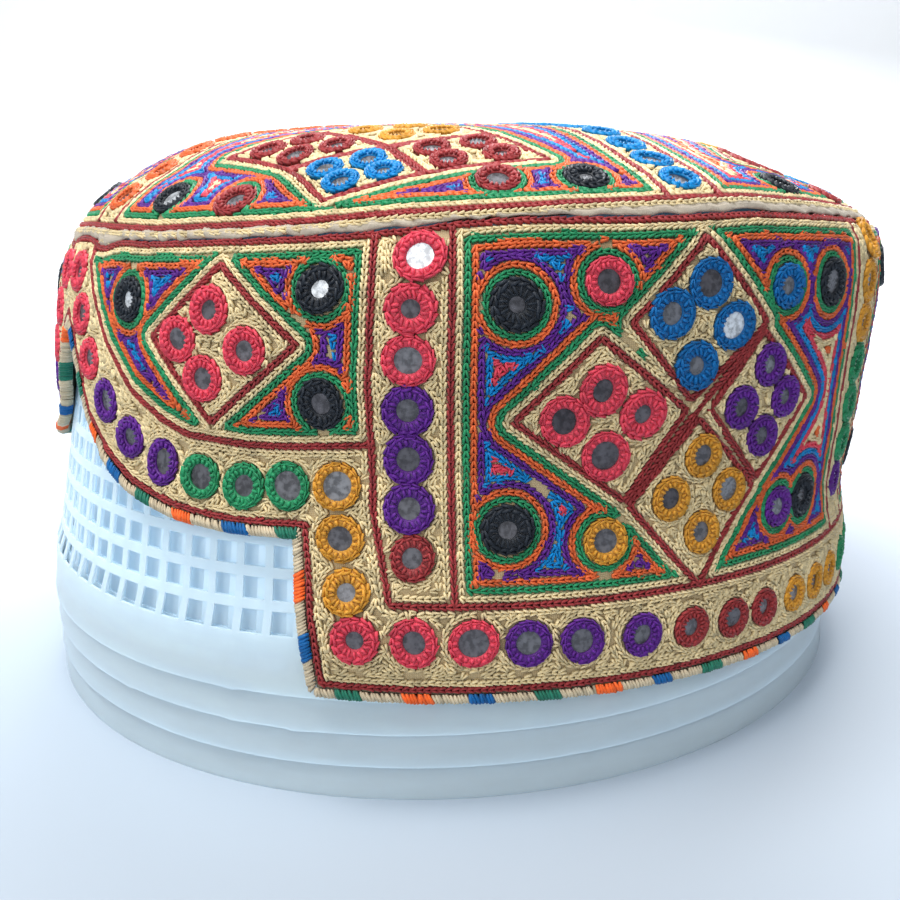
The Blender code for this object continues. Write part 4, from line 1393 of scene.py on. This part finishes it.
class CAP_OT_hem(bpy.types.Operator):
    """Whips silky thread over the cut edge in blocks of green, orange and blue on beige"""
    bl_idname = "cap.hem"
    bl_label = "Whipped hem"

    def execute(self, context):
        sizes, colours = context.scene.cap_sizes, context.scene.cap_threads
        random = np.random.default_rng(53)
        closed = closed_path(unrolled(*edge_path()))
        walked = walk(closed)
        count = int(walked[-1] / (sizes.whip_pitch / MM))
        along = (np.arange(count) + 0.5) * walked[-1] / count
        along = along + random.normal(0.0, 0.06, count)

        def at(distance):
            return spots_along(closed, walked, distance % walked[-1])

        spot = at(along)
        heading = unit(at(along + 0.8) - at(along - 0.8))
        away = np.stack([heading[:, 1], -heading[:, 0]], -1)
        over, raised, wide, thick = np.array(WHIP_SECTIONS).T
        mark = along - 2.6 * np.clip((along - walked[2 * len(ARCH_SHARE) - 1]) / 3.0, 0.0, 1.0)
        number = np.floor(mark / WHIP_BLOCK).astype(int)
        inside = mark - number * WHIP_BLOCK < WHIP_PATCH + 0.6 * np.sin(number * 2.4)
        kinds = np.where(inside, number % 3, 3)
        proud = np.where(inside, 0.22, 0.0)[:, None]
        reach = over * (1.0 + 0.6 * proud) + random.normal(0.0, 0.04, (count, 1)) - 0.8 * proud
        slant = random.normal(0.45, 0.10, count)[:, None] * (over - 0.8)
        flat = spot[:, None] + away[:, None] * reach[..., None] + heading[:, None] * slant[..., None]
        lift = raised + proud * (raised > -1.5)

        def lay(flat, lift):
            return wall_point(roll_up(once_round(flat[..., 0])), flat[..., 1], lift)

        base = lay(flat, lift + random.normal(0.0, 0.03, (count, 1)))
        side = unit(lay(flat + heading[:, None] * 0.5, lift) - base)
        out = unit(np.cross(unit(np.gradient(base, axis=1)), side))
        around = 2 * np.pi * np.arange(WHIP_SIDES) / WHIP_SIDES + np.pi / 2
        body = (base[:, :, None] + side[:, :, None] * (wide[:, None] * np.cos(around))[None, ..., None]
                + out[:, :, None] * (thick[:, None] * np.sin(around))[None, ..., None])
        size = len(WHIP_SECTIONS) * WHIP_SIDES
        one = np.concatenate([triangles(grid_faces(len(WHIP_SECTIONS), WHIP_SIDES)),
                              [(0, 2, 1), (size - 3, size - 2, size - 1)]])
        shade = np.clip(random.normal(0.5, 0.2, count), 0.0, 1.0)
        for kind, (name, colour) in enumerate((*WHIP_COLOURS, ("beige", tuple(colours.binding)))):
            pick = np.flatnonzero(kinds == kind)
            material = floss_material(f"{name} binding floss", colour, 0.7)
            piece = make_piece(f"hem_whipping_{name}", body[pick].reshape(-1, 3),
                               repeated(one, len(pick), size), material,
                               np.repeat(shade[pick], size))
        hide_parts("hem_edging")
        return {"FINISHED"}


def basket_radius(level):
    """Outer radius of a basket at a level above its rim."""
    band_top = RIM_RADIUS - BAND_TAPER
    return np.interp(level, (0.0, RIM_BAND, RIM_BAND + SHOULDER_RISE, BASKET_HEIGHT),
                     (RIM_RADIUS, band_top, band_top - SHOULDER_STEP, TOP_RADIUS))


def basket_levels(pierced):
    """Levels of a basket's rings of points: rim, band, shoulder, the holes' edges and the top."""
    edges = [HOLE_START + HOLE_ROW_STEP * k + s * HOLE_HEIGHT / 2 for k in range(HOLE_ROWS) for s in (-1, 1)]
    body = edges if pierced else [RIM_BAND, RIM_BAND + SHOULDER_RISE, 40.0]
    return np.array(sorted([0.0, 0.4, 3.0, 7.0, 10.4, *body, 68.0, 74.0, BASKET_HEIGHT - 0.6]))


class CAP_OT_baskets(bpy.types.Operator):
    """Makes the four nested baskets as smooth thin shells, the upper two pierced behind the arch"""
    bl_idname = "cap.baskets"
    bl_label = "Baskets"

    def execute(self, context):
        plastic = np.array(tuple(context.scene.cap_stand.plastic))
        random = np.random.default_rng(61)
        half = math.degrees(HOLE_WIDTH / 2 / basket_radius(40.0))
        for index, hole_turn in enumerate(HOLE_TURNS):
            foot = NEST_STEP * (BASKET_COUNT - 1 - index)
            # Painted glow on the inner baskets above their shoulders, where the other baskets hide them.
            painted_glow_from = (foot + RIM_BAND + SHOULDER_RISE + 3.0) * MM if index in PAINTED_GLOW_BASKETS else None
            # Each lower basket is painted 2% darker than the one above it: painted shade.
            material = plastic_material(f"thin white plastic {index + 1}",
                                        tuple(plastic * (1.0 - 0.02 * index)), painted_glow_from)
            shift = HOLE_PITCH * hole_turn
            centres = HOLE_PITCH * np.arange(round(360.0 / HOLE_PITCH)) + shift
            azimuth = np.sort(np.concatenate([centres - half, centres + half]))
            turn, cols = np.radians(azimuth), len(azimuth)
            wave = 0.28 * np.sin(turn * 3 + index) + 0.16 * np.sin(turn * 11 + 2 * index)
            flash = np.where(random.uniform(0, 1, cols) < 0.05, random.uniform(-0.35, 0.1, cols), 0.0)
            levels = basket_levels(index < PIERCED)
            rows = len(levels)
            height = np.repeat(levels[:, None], cols, 1)
            height[0] = 0.0 if index == BASKET_COUNT - 1 else np.minimum(wave * 0.3 + flash, 0.25)
            radius = (basket_radius(levels) + np.interp(levels, (0.0, 0.4, 3.0), (0.10, 0.16, 0.0)))[:, None]

            def ring(r, z):
                return np.stack([r * np.sin(turn), STAND_Y - r * np.cos(turn), foot + z], -1).reshape(-1, 3)

            points = np.concatenate([ring(radius, height), ring(
                radius - BASKET_WALL, np.minimum(height, BASKET_HEIGHT - BASKET_WALL))])
            level = ((levels[:-1] + levels[1:]) / 2)[:, None]
            side = half_turn(azimuth + (np.roll(azimuth, -1) - azimuth) % 360.0 / 2)
            in_row = np.abs((level - HOLE_START + HOLE_ROW_STEP / 2) % HOLE_ROW_STEP
                            - HOLE_ROW_STEP / 2) < HOLE_HEIGHT / 2 - 0.1
            in_row &= (level > HOLE_START - HOLE_ROW_STEP / 2) & (
                level < HOLE_START + HOLE_ROW_STEP * (HOLE_ROWS - 0.5))
            in_column = np.abs((side - shift + HOLE_PITCH / 2) % HOLE_PITCH - HOLE_PITCH / 2) < half * 0.9
            shown = foot + level < arch_height(np.clip(side, -45, 45)) - GAP - BINDING_WIDTH + 1.5
            hole = in_row & in_column & shown & (np.abs(side) < HOLE_REACH) & (index < PIERCED)
            count = rows * cols
            cells = grid_faces(rows, cols).reshape(rows - 1, cols, 4)
            front = cells[~hole]
            above, below = np.roll(hole, -1, 0), np.roll(hole, 1, 0)
            above[-1] = below[0] = False
            rims = [cells[~hole & beside][:, corners] for beside, corners in (
                (above, [2, 3]), (below, [0, 1]),
                (np.roll(hole, -1, 1), [1, 2]), (np.roll(hole, 1, 1), [3, 0]))]
            foot_rim = np.stack([np.arange(1, cols + 1) % cols, np.arange(cols)], -1)
            quads = np.concatenate([front, front[:, [0, 3, 2, 1]] + count] + [
                np.stack([p, p + count, q + count, q], -1) for p, q in (rim.T for rim in rims)]
                + [np.concatenate([foot_rim, foot_rim[:, ::-1] + count], 1)])
            points, lid = basket_lid(points, rows, cols, foot)
            faces = np.concatenate([triangles(quads), lid])
            piece = make_piece(f"plastic_basket_{index + 1}", points, faces, material)
            piece.data.set_sharp_from_angle(angle=math.radians(38.0))
            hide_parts(f"basket_{index + 1}")
        return {"FINISHED"}


def basket_lid(points, rows, cols, foot):
    """Adds the flat end of a basket, outside and inside, with a small round at its edge."""
    start, edge, inner = len(points), (rows - 1) * cols, (2 * rows - 1) * cols
    middle = np.array([0.0, STAND_Y, foot + BASKET_HEIGHT])
    scale = (TOP_RADIUS - 0.7) / basket_radius(BASKET_HEIGHT - 0.6)
    lid = middle + (points[edge:edge + cols] - middle) * scale
    lid[:, 2] = middle[2]
    points = np.concatenate([points, lid, [middle, middle - (0.0, 0.0, BASKET_WALL)]])
    j = np.arange(cols)
    right = (j + 1) % cols
    outer_middle, inner_middle = np.full(cols, start + cols), np.full(cols, start + cols + 1)
    return points, np.concatenate([np.stack(corners, -1) for corners in (
        (edge + j, edge + right, start + right), (edge + j, start + right, start + j),
        (start + j, start + right, outer_middle), (inner + right, inner + j, inner_middle))])


class CAP_PT_panel(bpy.types.Panel):
    """Lists the cap's sizes, colours and steps"""
    bl_idname = "CAP_PT_panel"
    bl_label = "Embroidered Cap"
    bl_space_type = "VIEW_3D"
    bl_region_type = "UI"
    bl_category = "Cap"

    def draw(self, context):
        layout = self.layout
        for group in (context.scene.cap_sizes, context.scene.cap_threads, context.scene.cap_stand):
            box = layout.box()
            for name in group.__annotations__:
                box.prop(group, name)
        for step in STEPS:
            layout.operator(step.bl_idname)


STEPS = (CAP_OT_stage, CAP_OT_ground_cloth, CAP_OT_baskets, CAP_OT_wall_stitches, CAP_OT_crown_stitches,
         CAP_OT_mirror_rings, CAP_OT_piping, CAP_OT_hem)
GROUPS = (("cap_sizes", CapSizes), ("cap_threads", ThreadColours), ("cap_stand", StandLook))


def register():
    for _, group in GROUPS:
        bpy.utils.register_class(group)
    for step in STEPS:
        bpy.utils.register_class(step)
    bpy.utils.register_class(CAP_PT_panel)
    for name, group in GROUPS:
        setattr(bpy.types.Scene, name, PointerProperty(type=group))


def unregister():
    for name, _ in GROUPS:
        delattr(bpy.types.Scene, name)
    bpy.utils.unregister_class(CAP_PT_panel)
    for step in reversed(STEPS):
        bpy.utils.unregister_class(step)
    for _, group in reversed(GROUPS):
        bpy.utils.unregister_class(group)


def main():
    register()
    bpy.ops.cap.stage()
    bpy.ops.cap.ground_cloth()
    bpy.ops.cap.baskets()
    bpy.ops.cap.wall_stitches()
    bpy.ops.cap.crown_stitches()
    bpy.ops.cap.mirror_rings()
    bpy.ops.cap.piping()
    bpy.ops.cap.hem()


if __name__ == "__main__":
    main()
